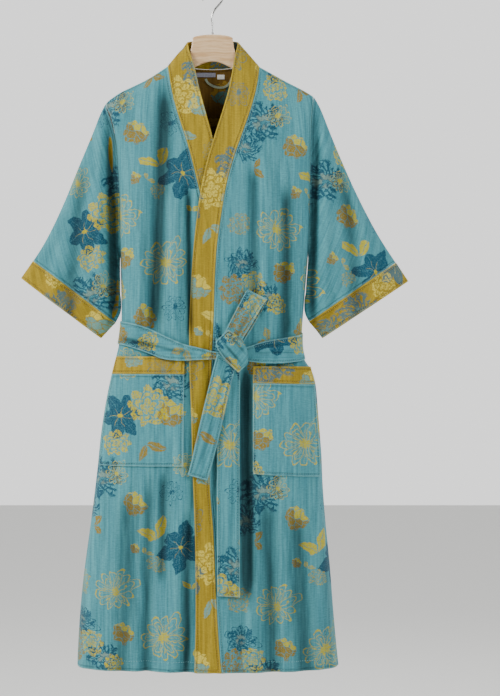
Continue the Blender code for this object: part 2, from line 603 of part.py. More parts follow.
def hook():
    """The wire hook: a stem from the wood, and a loop round the origin's rail."""
    pts = np.array([(x, 0.0, -d) for x, d in HOOK_PATH])
    fine = []
    for k in range(len(pts) - 1):
        p0, p1 = pts[max(k - 1, 0)], pts[k]
        p2, p3 = pts[k + 1], pts[min(k + 2, len(pts) - 1)]
        for t in (0, 0.5):
            fine.append(0.5 * (2 * p1 + (p2 - p0) * t + (2 * p0 - 5 * p1 + 4 * p2 - p3) * t ** 2
                               + (3 * p1 - p0 - 3 * p2 + p3) * t ** 3))
    fine.append(pts[-1])
    fine = np.array(fine)
    tangent = np.gradient(fine, axis=0)
    tangent /= np.linalg.norm(tangent, axis=1, keepdims=True)
    rings = []
    for p, t in zip(fine, tangent):
        side = np.array([t[2], 0, -t[0]])
        rings.append([p + HOOK_WIRE * (math.cos(a) * side + math.sin(a) * np.array([0, 1, 0]))
                      for a in np.linspace(0, 2 * math.pi, 9)[:-1]])
    return solid_loft("hanger_hook", np.array(rings), "steel")


def slab(name, x, drop, y_front, y_back, mat):
    """A thin flat label: x and drop ranges, and the y of its two faces."""
    outer = np.array([[(x[0], y_front, -drop[0]), (x[1], y_front, -drop[0])],
                      [(x[0], y_front, -drop[1]), (x[1], y_front, -drop[1])]], float)
    inner = outer.copy()
    inner[:, :, 1] = y_back
    return wall(name, outer, inner, mat)


def hanging_loop():
    """The narrow tape loop inside the back of the neck."""
    line = np.array([(x, y, -d) for x, y, d in HANGING_LOOP], float)
    along_it = np.gradient(line, axis=0)
    along_it /= np.linalg.norm(along_it, axis=1, keepdims=True)
    out = np.cross(along_it, np.array([0, 1.0, 0]))
    out /= np.linalg.norm(out, axis=1, keepdims=True)
    grid = np.stack([line - out * TAPE_WIDTH / 2, line + out * TAPE_WIDTH / 2], axis=1)
    return wall("hanging_loop", grid, grid - np.array([0, 1.0, 0]) * TAPE, "tape")


def pocket_on(panel, rows, first_col, last_col, lift, thick, start_gap=0.0, gape=0.0):
    """Points of a patch on a panel: the panel's own grid, moved out by `lift`."""
    n = normals(panel, np.array([0, -1.0, 0]))
    part = panel[rows[0]:rows[1] + 1, first_col:last_col + 1].copy()
    m = n[rows[0]:rows[1] + 1, first_col:last_col + 1]
    if start_gap:
        down = panel[rows[0] + 1, first_col:last_col + 1] - part[0]
        part[0] += down / np.linalg.norm(down, axis=1, keepdims=True) * start_gap
    v = np.linspace(0, 1, part.shape[0])[:, None]
    u = np.linspace(0, 1, part.shape[1])[None, :]
    rise = gape * np.sin(np.pi * np.clip(u, 0, 1)) ** 0.8 * (1 - v) ** 1.2
    inner = part + m * (lift + rise)[:, :, None]
    return inner + m * thick, inner


def build():
    """Make every piece of the robe and of the hanger."""
    made = {}
    left = panel_grid(-1, LEFT_ROWS, LEFT_BAND_SEAM, LEFT_GUIDE, 5, 11, 0, False)
    right = panel_grid(1, RIGHT_ROWS, RIGHT_BAND_SEAM, RIGHT_GUIDE, 6, 9, 12, True)
    back = back_grid()
    left_n, right_n, back_n = panel_normals(left), panel_normals(right), back_normals(back)
    back_n[0, NECK_FIRST - 1] = left_n[0, 0]
    back_n[0, NECK_FIRST + len(NECK_COLUMNS)] = right_n[0, 0]
    for name, grid, n in (("front_left", left, left_n), ("front_right", right, right_n),
                          ("back_panel", back, back_n)):
        made[name] = wall(name, grid, grid - n * CLOTH, "teal_gauze")

    for name, side, rows, top, under in (
            ("left", -1, LEFT_ROWS, LEFT_SLEEVE_TOP, LEFT_SLEEVE_UNDER),
            ("right", 1, RIGHT_ROWS, RIGHT_SLEEVE_TOP, RIGHT_SLEEVE_UNDER)):
        tube = sleeve_grid(side, rows, top, under, SLEEVE_STATIONS + CUFF_STATIONS)
        n = tube_normals(tube)
        cut = len(SLEEVE_STATIONS)
        end = tube[cut] + (tube[cut - 1] - tube[cut]) * 0.012
        body = np.concatenate([tube[:cut], end[None]])
        body_n = np.concatenate([n[:cut], n[cut][None]])
        body_n[0, :, 0] = side * np.minimum(body_n[0, :, 0] * side, 0)
        body_n[0] /= np.linalg.norm(body_n[0], axis=1, keepdims=True)
        made["sleeve_" + name] = wall("sleeve_" + name, body, body - body_n * CLOTH,
                                      "teal_gauze", wrap=True)
        cuff, cuff_n = tube[cut:], n[cut:]
        made["cuff_" + name] = wall("cuff_" + name, cuff + cuff_n * PROUD,
                                    cuff - cuff_n * (CUFF - PROUD), "mustard_gauze", wrap=True)

    seam_points, edge_points, seam_normals = [], [], []

    def station(seam_point, seam_normal, table, upper):
        drop = -seam_point[2]
        keys = [row[0] for row in table]
        ex = np.interp(drop, keys, [row[1] for row in table])
        ed = np.interp(drop, keys, [row[2] for row in table])
        if ed < 150:
            ey = -float(np.interp(ed, [110, 129, 150], [0, 11, 13.6]))
        else:
            ey = -float(body_depth(ex, ed, True, upper))
        seam_points.append(seam_point)
        seam_normals.append(seam_normal)
        edge_points.append((ex, ey, -ed))

    for k in range(len(LEFT_ROWS) - 1, -1, -1):
        station(left[k, 0], left_n[k, 0], LEFT_BAND_EDGE, False)
    keys = [row[0] for row in BACK_BAND_EDGE]
    for point, normal in zip(back[0], back_n[0]):
        if LEFT_SHOULDER[0][0] + 1 < point[0] < RIGHT_SHOULDER[0][0] - 1:
            ex, ey, ed = (np.interp(point[0], keys, [row[k] for row in BACK_BAND_EDGE])
                          for k in (1, 2, 3))
            seam_points.append(point)
            seam_normals.append(normal)
            edge_points.append((ex, ey, -ed))
    for k in range(len(RIGHT_ROWS)):
        station(right[k, 0], right_n[k, 0], RIGHT_BAND_EDGE, True)
    seam_points, edge_points = np.array(seam_points), np.array(edge_points)
    reach = edge_points - seam_points
    reach /= np.linalg.norm(reach, axis=1, keepdims=True)
    behind = (np.array(seam_points)[:, 1:2] > 1) * 0.25
    seam_points = seam_points + reach * (GAP + behind)
    t = np.linspace(0, 1, BAND_COLUMNS)[None, :, None]
    band = edge_points[:, None, :] * (1 - t) + seam_points[:, None, :] * t
    upper = np.arange(len(band)) >= len(band) / 2
    low = -band[:, :, 2]
    laid = -body_depth(band[:, :, 0], low, True, False)
    over = -body_depth(band[:, :, 0], low, True, True)
    laid = np.where(upper[:, None], over, laid)
    on_front = smooth(190, 260, low) * (band[:, :, 1] < 0)
    on_front[:, [0, -1]] = 0
    band[:, :, 1] = band[:, :, 1] * (1 - on_front) + laid * on_front
    middle = np.array([0, 4.0, 0])
    n = np.cross(np.gradient(band, axis=1), np.gradient(band, axis=0))
    n /= np.linalg.norm(n, axis=2, keepdims=True)
    n *= np.sign(np.sum(n * (band * (1, 1, 0) - middle), axis=2, keepdims=True))
    n[:, -1] = np.array(seam_normals)
    made["neckband"] = wall("neckband", band + n * PROUD, band - n * (BAND - PROUD),
                            "mustard_gauze")

    for name, grid, rows, inner_cols in (("left", left, LEFT_POCKET_ROWS, 5),
                                         ("right", right, RIGHT_POCKET_ROWS, 6)):
        last = grid.shape[1] - 2
        outer, inner = pocket_on(grid, rows[:2], inner_cols, last, 0.7, 2.6, gape=1.5)
        made["pocket_band_" + name] = wall("pocket_band_" + name, outer, inner, "mustard_gauze")
        outer, inner = pocket_on(grid, rows[1:], inner_cols, last, GAP, CLOTH, start_gap=GAP,
                                 gape=2.0)
        made["pocket_" + name] = wall("pocket_" + name, outer, inner, "teal_gauze")

    worn = [made[k] for k in made if not k.startswith(("sleeve", "cuff"))]
    body = Surface(worn)
    outer, inner = belt_ring(body)
    made["belt_waist"] = wall("belt_waist", outer, inner, "teal_gauze", wrap=True)
    worn.append(made["belt_waist"])
    made["belt_tail_long"] = strap("belt_tail_long", LONG_TAIL, Surface(worn), BELT,
                                   "teal_gauze", reach=12, rise=24)
    worn.append(made["belt_tail_long"])
    made["belt_tail_short"] = strap("belt_tail_short", SHORT_TAIL, Surface(worn), BELT,
                                    "teal_gauze", reach=13, rise=24)
    worn.append(made["belt_tail_short"])
    line, n = folded_loop("belt_loop", LOOP_BACK, LOOP_FRONT, Surface(worn), "teal_gauze")
    made["belt_loop"] = wall("belt_loop", line + n * BELT / 2, line - n * BELT / 2, "teal_gauze")
    worn.append(made["belt_loop"])
    made["belt_knot"] = strap("belt_knot", [row[:4] + (0.4,) for row in KNOT], Surface(worn),
                              BELT, "teal_gauze", reach=11, rise=12, columns=6,
                              bulge=[row[4] for row in KNOT])

    made["neck_label"] = slab("neck_label", (-31, 5), (163, 171), 13.9, 14.9, "tape")
    made["size_label"] = slab("size_label", (8, 21.5), (166.5, 175), 13.9, 14.9, "white_label")
    made["hanging_loop"] = hanging_loop()
    hanger_body()
    hook()
    return made


clear_scene()
build()
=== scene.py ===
"""The looks of a kimono robe of crinkled double gauze, hung on a pale wooden hanger with its
own tied belt. Every piece of cloth is refined from its CAD solid, so it stays where it is."""

import logging
import math
from dataclasses import dataclass, field
from enum import Enum

import bmesh
import bpy
import numpy as np
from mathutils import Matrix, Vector
from mathutils.bvhtree import BVHTree
from mathutils.kdtree import KDTree

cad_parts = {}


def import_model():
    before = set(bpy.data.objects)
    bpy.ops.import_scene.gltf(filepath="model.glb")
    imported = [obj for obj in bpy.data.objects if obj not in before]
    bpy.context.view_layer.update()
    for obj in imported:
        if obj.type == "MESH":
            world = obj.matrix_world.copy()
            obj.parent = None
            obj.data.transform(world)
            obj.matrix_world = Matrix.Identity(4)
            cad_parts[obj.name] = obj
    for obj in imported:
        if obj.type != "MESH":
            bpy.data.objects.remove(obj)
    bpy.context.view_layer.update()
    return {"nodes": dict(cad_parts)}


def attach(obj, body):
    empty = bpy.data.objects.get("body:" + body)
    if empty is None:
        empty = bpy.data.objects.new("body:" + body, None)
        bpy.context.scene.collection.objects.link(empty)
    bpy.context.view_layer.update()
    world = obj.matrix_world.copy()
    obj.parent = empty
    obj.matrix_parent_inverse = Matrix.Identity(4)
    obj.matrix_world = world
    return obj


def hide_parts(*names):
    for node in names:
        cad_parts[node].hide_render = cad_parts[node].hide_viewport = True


LOG = logging.getLogger("robe")
REPEAT = (0.290, 0.670)      # the woven pattern repeats after this much, across and down
MM = 1000.0                  # millimetres in a metre
TURN = 2 * math.pi
WELD = 2e-5                  # a solid's points closer than this are one
SHARP = math.radians(50)     # edges above this angle stay crisp
Colour = tuple[float, float, float]
Socket = bpy.types.NodeSocket
Place = tuple[Vector, Vector, Vector]        # an edge point, its normal and its way inwards


def linear(red: float, green: float, blue: float) -> Colour:
    """A screen colour as the linear one that shaders take.

    Args:
        red: Screen red, 0 to 1.
        green: Screen green, 0 to 1.
        blue: Screen blue, 0 to 1.

    Returns:
        The three linear values.
    """
    return tuple(c / 12.92 if c <= 0.04045 else ((c + 0.055) / 1.055) ** 2.4
                 for c in (red, green, blue))


class Number:
    """A number in a shader tree; signs between two of them write Math nodes."""

    def __init__(self, pen: "Pen", socket: Socket) -> None:
        """Takes the pen that writes for it and the socket that holds it."""
        self.pen, self.socket = pen, socket

    def __add__(self, other: object) -> "Number":
        """The sum."""
        return self.pen.number("ADD", self, other)

    def __sub__(self, other: object) -> "Number":
        """The difference."""
        return self.pen.number("SUBTRACT", self, other)

    def __rsub__(self, other: object) -> "Number":
        """The difference, with this one taken away."""
        return self.pen.number("SUBTRACT", other, self)

    def __mul__(self, other: object) -> "Number":
        """The product."""
        return self.pen.number("MULTIPLY", self, other)

    def __truediv__(self, other: object) -> "Number":
        """The quotient."""
        return self.pen.number("DIVIDE", self, other)

    def __pow__(self, other: object) -> "Number":
        """The power."""
        return self.pen.number("POWER", self, other)

    def __abs__(self) -> "Number":
        """The value without its sign."""
        return self.pen.number("ABSOLUTE", self)

    def sine(self) -> "Number":
        """The sine."""
        return self.pen.number("SINE", self)

    def cosine(self) -> "Number":
        """The cosine."""
        return self.pen.number("COSINE", self)


class Pen:
    """Writes shader nodes into one tree, from plain numbers or from other nodes' sockets."""

    def __init__(self, tree: bpy.types.NodeTree) -> None:
        """Takes the tree that the nodes go into."""
        self.tree = tree

    def feed(self, socket: Socket, value: object) -> None:
        """Links a value to an input, or sets the input's own value.

        Args:
            socket: The input.
            value: A Number, a socket, a plain number, a vector or a colour.
        """
        if isinstance(value, Number):
            value = value.socket
        if isinstance(value, Socket):
            self.tree.links.new(value, socket)
            return
        if socket.type == "RGBA" and len(value) == 3:
            value = (*value, 1.0)
        socket.default_value = value

    def number(self, how: str, *values: object) -> Number:
        """One Math node.

        Args:
            how: The operation.
            values: Its one, two or three values.

        Returns:
            The result.
        """
        node = self.tree.nodes.new("ShaderNodeMath")
        node.operation = how
        for socket, value in zip(node.inputs, values):
            self.feed(socket, value)
        return Number(self, node.outputs[0])

    def most(self, first: object, second: object) -> Number:
        """The larger of two numbers."""
        return self.number("MAXIMUM", first, second)

    def least(self, first: object, second: object) -> Number:
        """The smaller of two numbers."""
        return self.number("MINIMUM", first, second)

    def vector(self, how: str, *values: object) -> Number | Socket:
        """One Vector Math node.

        Args:
            how: The operation.
            values: Its one, two or three vectors.

        Returns:
            A Number for a length, and the result's socket for the rest.
        """
        node = self.tree.nodes.new("ShaderNodeVectorMath")
        node.operation = how
        for socket, value in zip(node.inputs, values):
            self.feed(socket, value)
        return Number(self, node.outputs["Value"]) if how == "LENGTH" else node.outputs["Vector"]

    def split(self, vector: object) -> tuple[Number, ...]:
        """The x, y and z of a vector.

        Args:
            vector: The vector.

        Returns:
            Its three numbers.
        """
        node = self.tree.nodes.new("ShaderNodeSeparateXYZ")
        self.feed(node.inputs[0], vector)
        return tuple(Number(self, socket) for socket in node.outputs)

    def join(self, *values: object) -> Socket:
        """A vector from three numbers.

        Args:
            values: The three numbers.

        Returns:
            The vector's socket.
        """
        node = self.tree.nodes.new("ShaderNodeCombineXYZ")
        for socket, value in zip(node.inputs, values):
            self.feed(socket, value)
        return node.outputs[0]

    def swirl(self, vector: object, scale: float, detail: float = 2.0,
              rough: float = 0.5) -> Socket:
        """One Noise Texture, read as a vector.

        Args:
            vector: Where it is read.
            scale: How many features to a metre.
            detail: Octaves.
            rough: How strong the finer octaves are.

        Returns:
            The socket of its three values.
        """
        node = self.tree.nodes.new("ShaderNodeTexNoise")
        self.feed(node.inputs["Vector"], vector)
        for name, value in (("Scale", scale), ("Detail", detail), ("Roughness", rough)):
            node.inputs[name].default_value = value
        return node.outputs["Color"]

    def noise(self, vector: object, scale: float, detail: float = 2.0,
              rough: float = 0.5) -> Number:
        """The same noise, read as a number."""
        return Number(self, self.swirl(vector, scale, detail, rough).node.outputs["Fac"])

    def stretched(self, vector: object, scale: tuple[float, float, float], detail: float = 2.0,
                  rough: float = 0.5) -> Number:
        """Noise with as many features to a metre along each axis as scale says."""
        return self.noise(self.vector("MULTIPLY", vector, scale), 1.0, detail, rough)

    def rise(self, value: object, low: float, high: float, bottom: float = 0.0,
             top: float = 1.0) -> Number:
        """A smooth step from one number to another.

        Args:
            value: What is mapped.
            low: Where the step starts.
            high: Where it ends, which may be below low.
            bottom: The result at low.
            top: The result at high.

        Returns:
            The result.
        """
        node = self.tree.nodes.new("ShaderNodeMapRange")
        node.interpolation_type = "SMOOTHSTEP"
        for socket, number in zip(node.inputs, (value, low, high, bottom, top)):
            self.feed(socket, number)
        return Number(self, node.outputs[0])

    def blend(self, kind: str, share: object, first: object, second: object) -> Socket:
        """One Mix node.

        Args:
            kind: VECTOR or RGBA.
            share: How much of the second, 0 to 1.
            first: First value.
            second: Second value.

        Returns:
            The result's socket.
        """
        node = self.tree.nodes.new("ShaderNodeMix")
        node.data_type = kind
        start, out = {"VECTOR": (4, 1), "RGBA": (6, 2)}[kind]
        for index, value in ((0, share), (start, first), (start + 1, second)):
            self.feed(node.inputs[index], value)
        return node.outputs[out]

    def tint(self, share: object, first: object, second: object) -> Socket:
        """A mix of two colours, each a socket or a screen colour."""
        ends = (c if isinstance(c, Socket) else linear(*c) for c in (first, second))
        return self.blend("RGBA", share, *ends)

    def spot(self) -> Socket:
        """The place on the piece, in metres."""
        return self.tree.nodes.new("ShaderNodeTexCoord").outputs["Object"]

    def mark(self, name: str) -> Number:
        """One of the piece's point attributes.

        Args:
            name: The attribute's name.

        Returns:
            Its value.
        """
        node = self.tree.nodes.new("ShaderNodeAttribute")
        node.attribute_name = name
        return Number(self, node.outputs["Fac"])

    def bump(self, shader: bpy.types.Node, height: Number, strength: float,
             depth: float) -> None:
        """Feeds a height into a shader as a bump.

        Args:
            shader: The shader.
            height: The height, 1 for a whole depth.
            strength: How strongly the bump shows, 0 to 1.
            depth: The depth in metres.
        """
        node = self.tree.nodes.new("ShaderNodeBump")
        node.inputs["Strength"].default_value = strength
        node.inputs["Distance"].default_value = depth
        self.feed(node.inputs["Height"], height)
        self.feed(shader.inputs["Normal"], node.outputs[0])


class Bloom(Enum):
    """The kinds of flower in the woven pattern."""

    LILY = "lily"            # solid, six pointed petals with veins, short stamens
    DRAWN = "drawn"          # six petals in outline, over a shorter ring
    PEONY = "peony"          # scalloped rings
    CLUSTER = "cluster"      # small round florets in a head
    ASTER = "aster"          # many fine rays round a pale eye
    LEAVES = "leaves"        # a pair of leaves on a stalk


@dataclass(frozen=True)
class Motif:
    """One flower of the repeat, measured from the repeat's first cluster, in millimetres.

    tone runs from 0 to 1 and picks between the kind's two threads; turn is in radians.
    """

    across: float
    down: float
    radius: float
    tone: float = 0.0
    turn: float = 0.0


MOTIFS = {
    Bloom.CLUSTER: (Motif(0, 0, 23), Motif(-22, 228, 20), Motif(66, 508, 25),
                    Motif(16, 333, 22), Motif(-1, 82, 10), Motif(-70, 395, 20)),
    Bloom.LILY: (Motif(86, 76, 50, 0, 0.35), Motif(-24, 512, 45, 0, 1.2)),
    Bloom.DRAWN: (Motif(-32, -54, 26, 0, 0.9), Motif(-34, 153, 45, 0, 0.2),
                  Motif(54, 236, 50, 0, 1.0), Motif(66, -20, 24, 1, 0.5),
                  Motif(72, 318, 27, 1, 0.1), Motif(-98, 212, 34, 1, 0.7),
                  Motif(-18, 420, 34, 0, 0.6), Motif(90, 600, 30, 0, 0.4)),
    Bloom.PEONY: (Motif(25, 494, 38, 0.1, 0.3), Motif(-34, 560, 26, 0.2, 0.0),
                  Motif(-103, 143, 22, 0.55, 0.4), Motif(-109, 258, 30, 0.9, 0.2),
                  Motif(-80, 250, 25, 0.25, 0.8), Motif(-36, 284, 20, 0.1, 0.5),
                  Motif(40, 108, 15, 0.5, 0.1), Motif(95, 410, 26, 0.4, 0.9)),
    Bloom.ASTER: (Motif(-62, -46, 42), Motif(-90, 4, 28), Motif(-98, 212, 26),
                  Motif(-54, 272, 30), Motif(66, 452, 38), Motif(130, 350, 34)),
    Bloom.LEAVES: (Motif(41, 60, 38, 0.05, 2.05), Motif(98, 150, 20, 0.1, 1.4),
                   Motif(20, 90, 20, 0.4, 1.0), Motif(22, 560, 34, 0.85, -1.1),
                   Motif(-76, 40, 24, 0.95, 0.1), Motif(-50, 350, 30, 0.6, 2.6),
                   Motif(112, 280, 26, 0.3, 0.8)),
}
THREADS = ("Blue", "Ochre", "Yellow", "Line", "Pale")     # what the weave group gives out


class FlowerWeave:
    """The shader group that tells, at a point of the cloth, which thread is on top.

    Each kind of flower has a method that takes the point and a slow noise, which breaks up its
    lines and filled parts. Petals, rims and lines are measured in shares of the flower's radius.
    """

    def __init__(self) -> None:
        """Makes the group's tree with its input and outputs."""
        self.tree = bpy.data.node_groups.new("flower weave", "ShaderNodeTree")
        face = self.tree.interface
        face.new_socket("Vector", in_out="INPUT", socket_type="NodeSocketVector")
        for name in THREADS:
            face.new_socket(name, in_out="OUTPUT", socket_type="NodeSocketFloat")
        self.pen = Pen(self.tree)

    def nearest(self, place: Socket, kind: Bloom) -> tuple[Socket, Number, Number, Number]:
        """The nearest flower of one kind.

        Args:
            place: The point on the cloth, in metres.
            kind: Which flowers are looked at.

        Returns:
            The way from its middle, the distance (1 at its rim), the angle and its tone.
        """
        pen, half = self.pen, (REPEAT[0] / 2, REPEAT[1] / 2, 1.0)
        best = near = traits = None
        for one in MOTIFS[kind]:
            size = MM / one.radius
            off = pen.vector("SUBTRACT", place, (one.across / MM, one.down / MM, 0.0))
            off = pen.vector("WRAP", off, half, tuple(-h for h in half))
            off = pen.vector("MULTIPLY", off, (size, size, 0.0))
            reach = pen.vector("LENGTH", off)
            mine = (one.tone, one.turn, 0.0)
            if best is None:
                best, near, traits = off, reach, mine
                continue
            closer = pen.number("LESS_THAN", reach, near)
            best = pen.blend("VECTOR", closer, best, off)
            traits = pen.blend("VECTOR", closer, traits, mine)
            near = pen.least(near, reach)
        x, y, _ = pen.split(best)
        tone, turn, _ = pen.split(traits)
        return best, near, pen.number("ARCTAN2", y, x) + turn, tone

    def petals(self, angle: Number, count: int, inner: float, sharp: float = 1.0) -> Number:
        """How far a ring of round petals reaches at an angle, from inner to 1."""
        return abs((angle * (count / 2)).cosine()) ** sharp * (1 - inner) + inner

    def band(self, value: Number, centre: object, half: float) -> Number:
        """1 where value is within half of centre, 0 beyond, with a soft border."""
        return self.pen.rise(abs(value - centre), half * 1.4, half * 0.6)

    def spokes(self, angle: Number, reach: Number, count: int, half: float,
               phase: float = 0.0) -> Number:
        """Thin rays from the middle, as veins and stamens are drawn."""
        return self.band((angle * (count / 2) + phase).sine() * reach, 0.0, half)

    def cells(self, place: Socket, feature: str) -> bpy.types.NodeOutputs:
        """One flat Voronoi Texture, its cells one unit wide.

        Args:
            place: Where it is read.
            feature: What of its cells is measured.

        Returns:
            Its outputs.
        """
        node = self.tree.nodes.new("ShaderNodeTexVoronoi")
        node.feature, node.voronoi_dimensions = feature, "2D"
        node.inputs["Scale"].default_value = 1.0
        node.inputs["Randomness"].default_value = 0.7
        self.pen.feed(node.inputs["Vector"], place)
        return node.outputs

    def blade(self, along: Number, bulge: float) -> Number:
        """Half the width of a leaf or petal at a share of its length, before it is scaled."""
        held = self.pen.least(self.pen.most(along, 0.0), 1.0)
        return ((held ** bulge if bulge != 1 else held) * math.pi).sine()

    def lily(self, place: Socket, grain: Number) -> tuple[Number, Number]:
        """Solid pointed petals with paler veins, and stamens.

        Args:
            place: The point on the cloth.
            grain: The slow noise.

        Returns:
            How much blue and how much yellow shows.
        """
        pen = self.pen
        _, reach, angle, _ = self.nearest(place, Bloom.LILY)
        uneven = (angle * 2.0 + 1.0).cosine() * 0.12 + 0.9
        away = pen.number("WRAP", angle, math.pi / 6, -math.pi / 6)
        along = reach * away.cosine() / uneven
        aside = abs(reach * away.sine())
        body = pen.rise(self.blade(along, 1.15) ** 0.8 * 0.27 - aside, -0.015, 0.03)
        body = pen.most(body, pen.rise(reach, 0.24, 0.2))
        rib = self.band(aside, 0.0, 0.014) * pen.rise(reach, 0.85, 0.7)
        vein = self.spokes(angle, reach, 30, 0.05) * (pen.rise(reach, 0.25, 0.4) * 0.45)
        body = body * (1.0 - pen.most(rib, vein) * 0.4) * pen.rise(grain, 0.3, 0.5, 0.7, 1.0)
        stamen = self.spokes(angle, reach, 7, 0.022, 0.8)
        stamen = stamen * pen.rise(reach, 0.46, 0.36, 0.0, 0.75)
        return body, pen.most(stamen, pen.rise(reach, 0.1, 0.06))

    def drawn(self, place: Socket, grain: Number) -> tuple[Number, Number]:
        """Petals in broken outline over a shorter ring, with an eye.

        Args:
            place: The point on the cloth.
            grain: The slow noise.

        Returns:
            How much line shows, and its tone.
        """
        pen = self.pen
        _, reach, angle, tone = self.nearest(place, Bloom.DRAWN)
        wobble = pen.noise(pen.join(angle.cosine(), angle.sine(), tone), 1.6, 1.0)
        rim = self.petals(angle, 6, 0.18, 1.25) * (wobble * 0.75 + 0.5)
        short = self.petals(angle + 0.5, 6, 0.15, 1.1) * 0.78
        eye = pen.rise(self.petals(angle, 7, 0.6) - reach * 4.4, -0.2, 0.3)
        line = self.band(reach, rim, 0.027)
        fold = self.band(reach, rim * 0.78, 0.018) * pen.rise(reach, 0.3, 0.4)
        under = self.band(reach, short, 0.024) * pen.rise(reach - rim, -0.02, 0.02)
        vein = self.spokes(angle, reach, 12, 0.026) * pen.rise(reach, 0.8, 0.6)
        ray = self.spokes(angle, reach, 17, 0.08, 0.4) * pen.rise(reach, 0.6, 0.42)
        tip = self.band(reach, 0.46, 0.05) * self.spokes(angle, reach, 7, 0.08, 0.4)
        ink = eye
        for part in (line, fold, under, vein, ray, tip):
            ink = pen.most(ink, part)
        ink = ink * pen.rise(grain, 0.34, 0.5, 0.4, 1.0)
        return ink * pen.rise(reach, 1.25, 1.15), tone

    def peony(self, place: Socket, grain: Number) -> tuple[Number, Number]:
        """Three scalloped rings of petals, parted by thin lines.

        Args:
            place: The point on the cloth.
            grain: The slow noise.

        Returns:
            How much thread shows, and its tone.
        """
        pen = self.pen
        _, reach, angle, tone = self.nearest(place, Bloom.PEONY)
        fill = pen.rise(self.petals(angle, 9, 0.74, 0.8) - reach, -0.04, 0.04)
        for count, size, shift in ((7, 0.7, 0.7), (5, 0.42, 0.2)):
            ring = self.petals(angle + shift, count, 0.6, 0.8) * size
            fill = fill * (1.0 - self.band(reach, ring, 0.05) * 0.85)
        crack = self.spokes(angle, reach, 22, 0.07, 1.0)
        return fill * (1.0 - crack * 0.35) * pen.rise(grain, 0.4, 0.5, 0.2, 1.0), tone

    def cluster(self, place: Socket, grain: Number) -> tuple[Number, Number]:
        """A head of close round florets, the upper ones brighter.

        Args:
            place: The point on the cloth.
            grain: The slow noise.

        Returns:
            How much ochre and how much yellow shows.
        """
        pen = self.pen
        own, reach, angle, _ = self.nearest(place, Bloom.CLUSTER)
        spread = pen.vector("MULTIPLY", own, (1.9, 1.9, 0.0))
        gaps, spots = self.cells(spread, "DISTANCE_TO_EDGE"), self.cells(spread, "F1")
        floret = pen.rise(gaps["Distance"], 0.015, 0.07)
        floret = floret * pen.rise(spots["Distance"], 0.05, 0.13, 0.55, 1.0)
        inside = pen.rise(self.petals(angle, 8, 0.8, 0.6) - reach, -0.05, 0.05)
        body = floret * inside * pen.rise(grain, 0.34, 0.48, 0.6, 1.0)
        x, y, _ = pen.split(spots["Position"])
        lit = pen.rise(y - x * 0.5, -0.35, -0.6)
        return body * (1.0 - lit), body * lit

    def aster(self, place: Socket, grain: Number) -> tuple[Number, Number]:
        """Fine dark rays and curls round a pale eye.

        Args:
            place: The point on the cloth.
            grain: The slow noise.

        Returns:
            How much blue and how much pale thread shows.
        """
        pen = self.pen
        own, reach, angle, _ = self.nearest(place, Bloom.ASTER)
        body = pen.rise(self.petals(angle, 7, 0.66, 0.8) - reach, -0.12, 0.1)
        swirled = (angle * 15.0 + reach * 16.0).cosine()
        ray = pen.rise(grain * 3.0 + swirled, 1.2, 2.2, 0.1, 0.9)
        curl = pen.stretched(own, (3.4, 3.4, 0.0))
        scribble = self.band(curl, 0.5, 0.045) * 0.9
        eye = pen.rise(reach, 0.42, 0.25) * pen.rise(curl, 0.45, 0.55)
        return body * pen.most(ray, scribble), eye * 0.7

    def leaves(self, place: Socket) -> tuple[Number, Number]:
        """Two leaves that meet at a stalk.

        Args:
            place: The point on the cloth.

        Returns:
            How much thread shows, and its tone.
        """
        pen = self.pen
        _, reach, angle, tone = self.nearest(place, Bloom.LEAVES)
        away = abs(pen.number("WRAP", angle, math.pi, -math.pi)) - 0.8
        along = reach * away.cosine()
        aside = abs(reach * away.sine())
        leaf = pen.rise(self.blade(along, 1) * 0.24 - aside, -0.02, 0.03)
        leaf = leaf * pen.rise(along, 0.0, 0.05)
        return leaf * (1.0 - self.band(aside, 0.0, 0.02) * 0.6), tone

    def build(self) -> bpy.types.NodeTree:
        """Draws every kind and gives each thread its share.

        Returns:
            The finished group.
        """
        pen = self.pen
        place = self.tree.nodes.new("NodeGroupInput").outputs["Vector"]
        done = self.tree.nodes.new("NodeGroupOutput")
        bent = place
        for scale, detail, reach in ((95, 2.0, 0.008), (26, 1.0, 0.02)):
            sway = pen.vector("SUBTRACT", pen.swirl(place, scale, detail), (0.5, 0.5, 0.5))
            bent = pen.vector("MULTIPLY_ADD", sway, (reach, reach, 0.0), bent)
        grain = pen.noise(place, 300, 3.0, 0.65)
        lily, stamen = self.lily(bent, grain)
        line, line_tone = self.drawn(bent, grain)
        peony, peony_tone = self.peony(bent, grain)
        floret, lit = self.cluster(bent, grain)
        rays, eye = self.aster(bent, grain)
        leaf, leaf_tone = self.leaves(bent)
        blue = pen.most(pen.most(rays, lily), line * line_tone)
        drawn = line * (1.0 - line_tone)
        yellow, ochre = pen.most(stamen, lit), floret
        for thread, tone in ((peony, peony_tone), (leaf, leaf_tone)):
            yellow = pen.most(yellow, thread * (1.0 - tone))
            ochre = pen.most(ochre, thread * tone)
        # Single threads of the other layer show through, so each edge is broken up.
        nap = pen.stretched(place, (900.0, 420.0, 1.0), 1.0) * 1.5 - 0.8
        dimming = pen.rise(pen.noise(place, 430, 3.0, 0.75), 0.36, 0.58, 0.66, 1.0)
        for name, value in zip(THREADS, (blue, ochre, yellow, drawn)):
            frayed = nap * pen.rise(value, 0.0, 0.25) + value
            pen.feed(done.inputs[name], dimming * pen.rise(frayed, 0.15, 0.8))
        pen.feed(done.inputs["Pale"], eye)
        return self.tree


@dataclass(frozen=True)
class Threads:
    """The colours of one side of the gauze, on a screen from 0 to 1."""

    ground: Colour
    shade: Colour
    blue: Colour
    ochre: Colour
    yellow: Colour
    line: Colour
    pale: Colour
    # the painted highlight along rolled edges
    lit: Colour


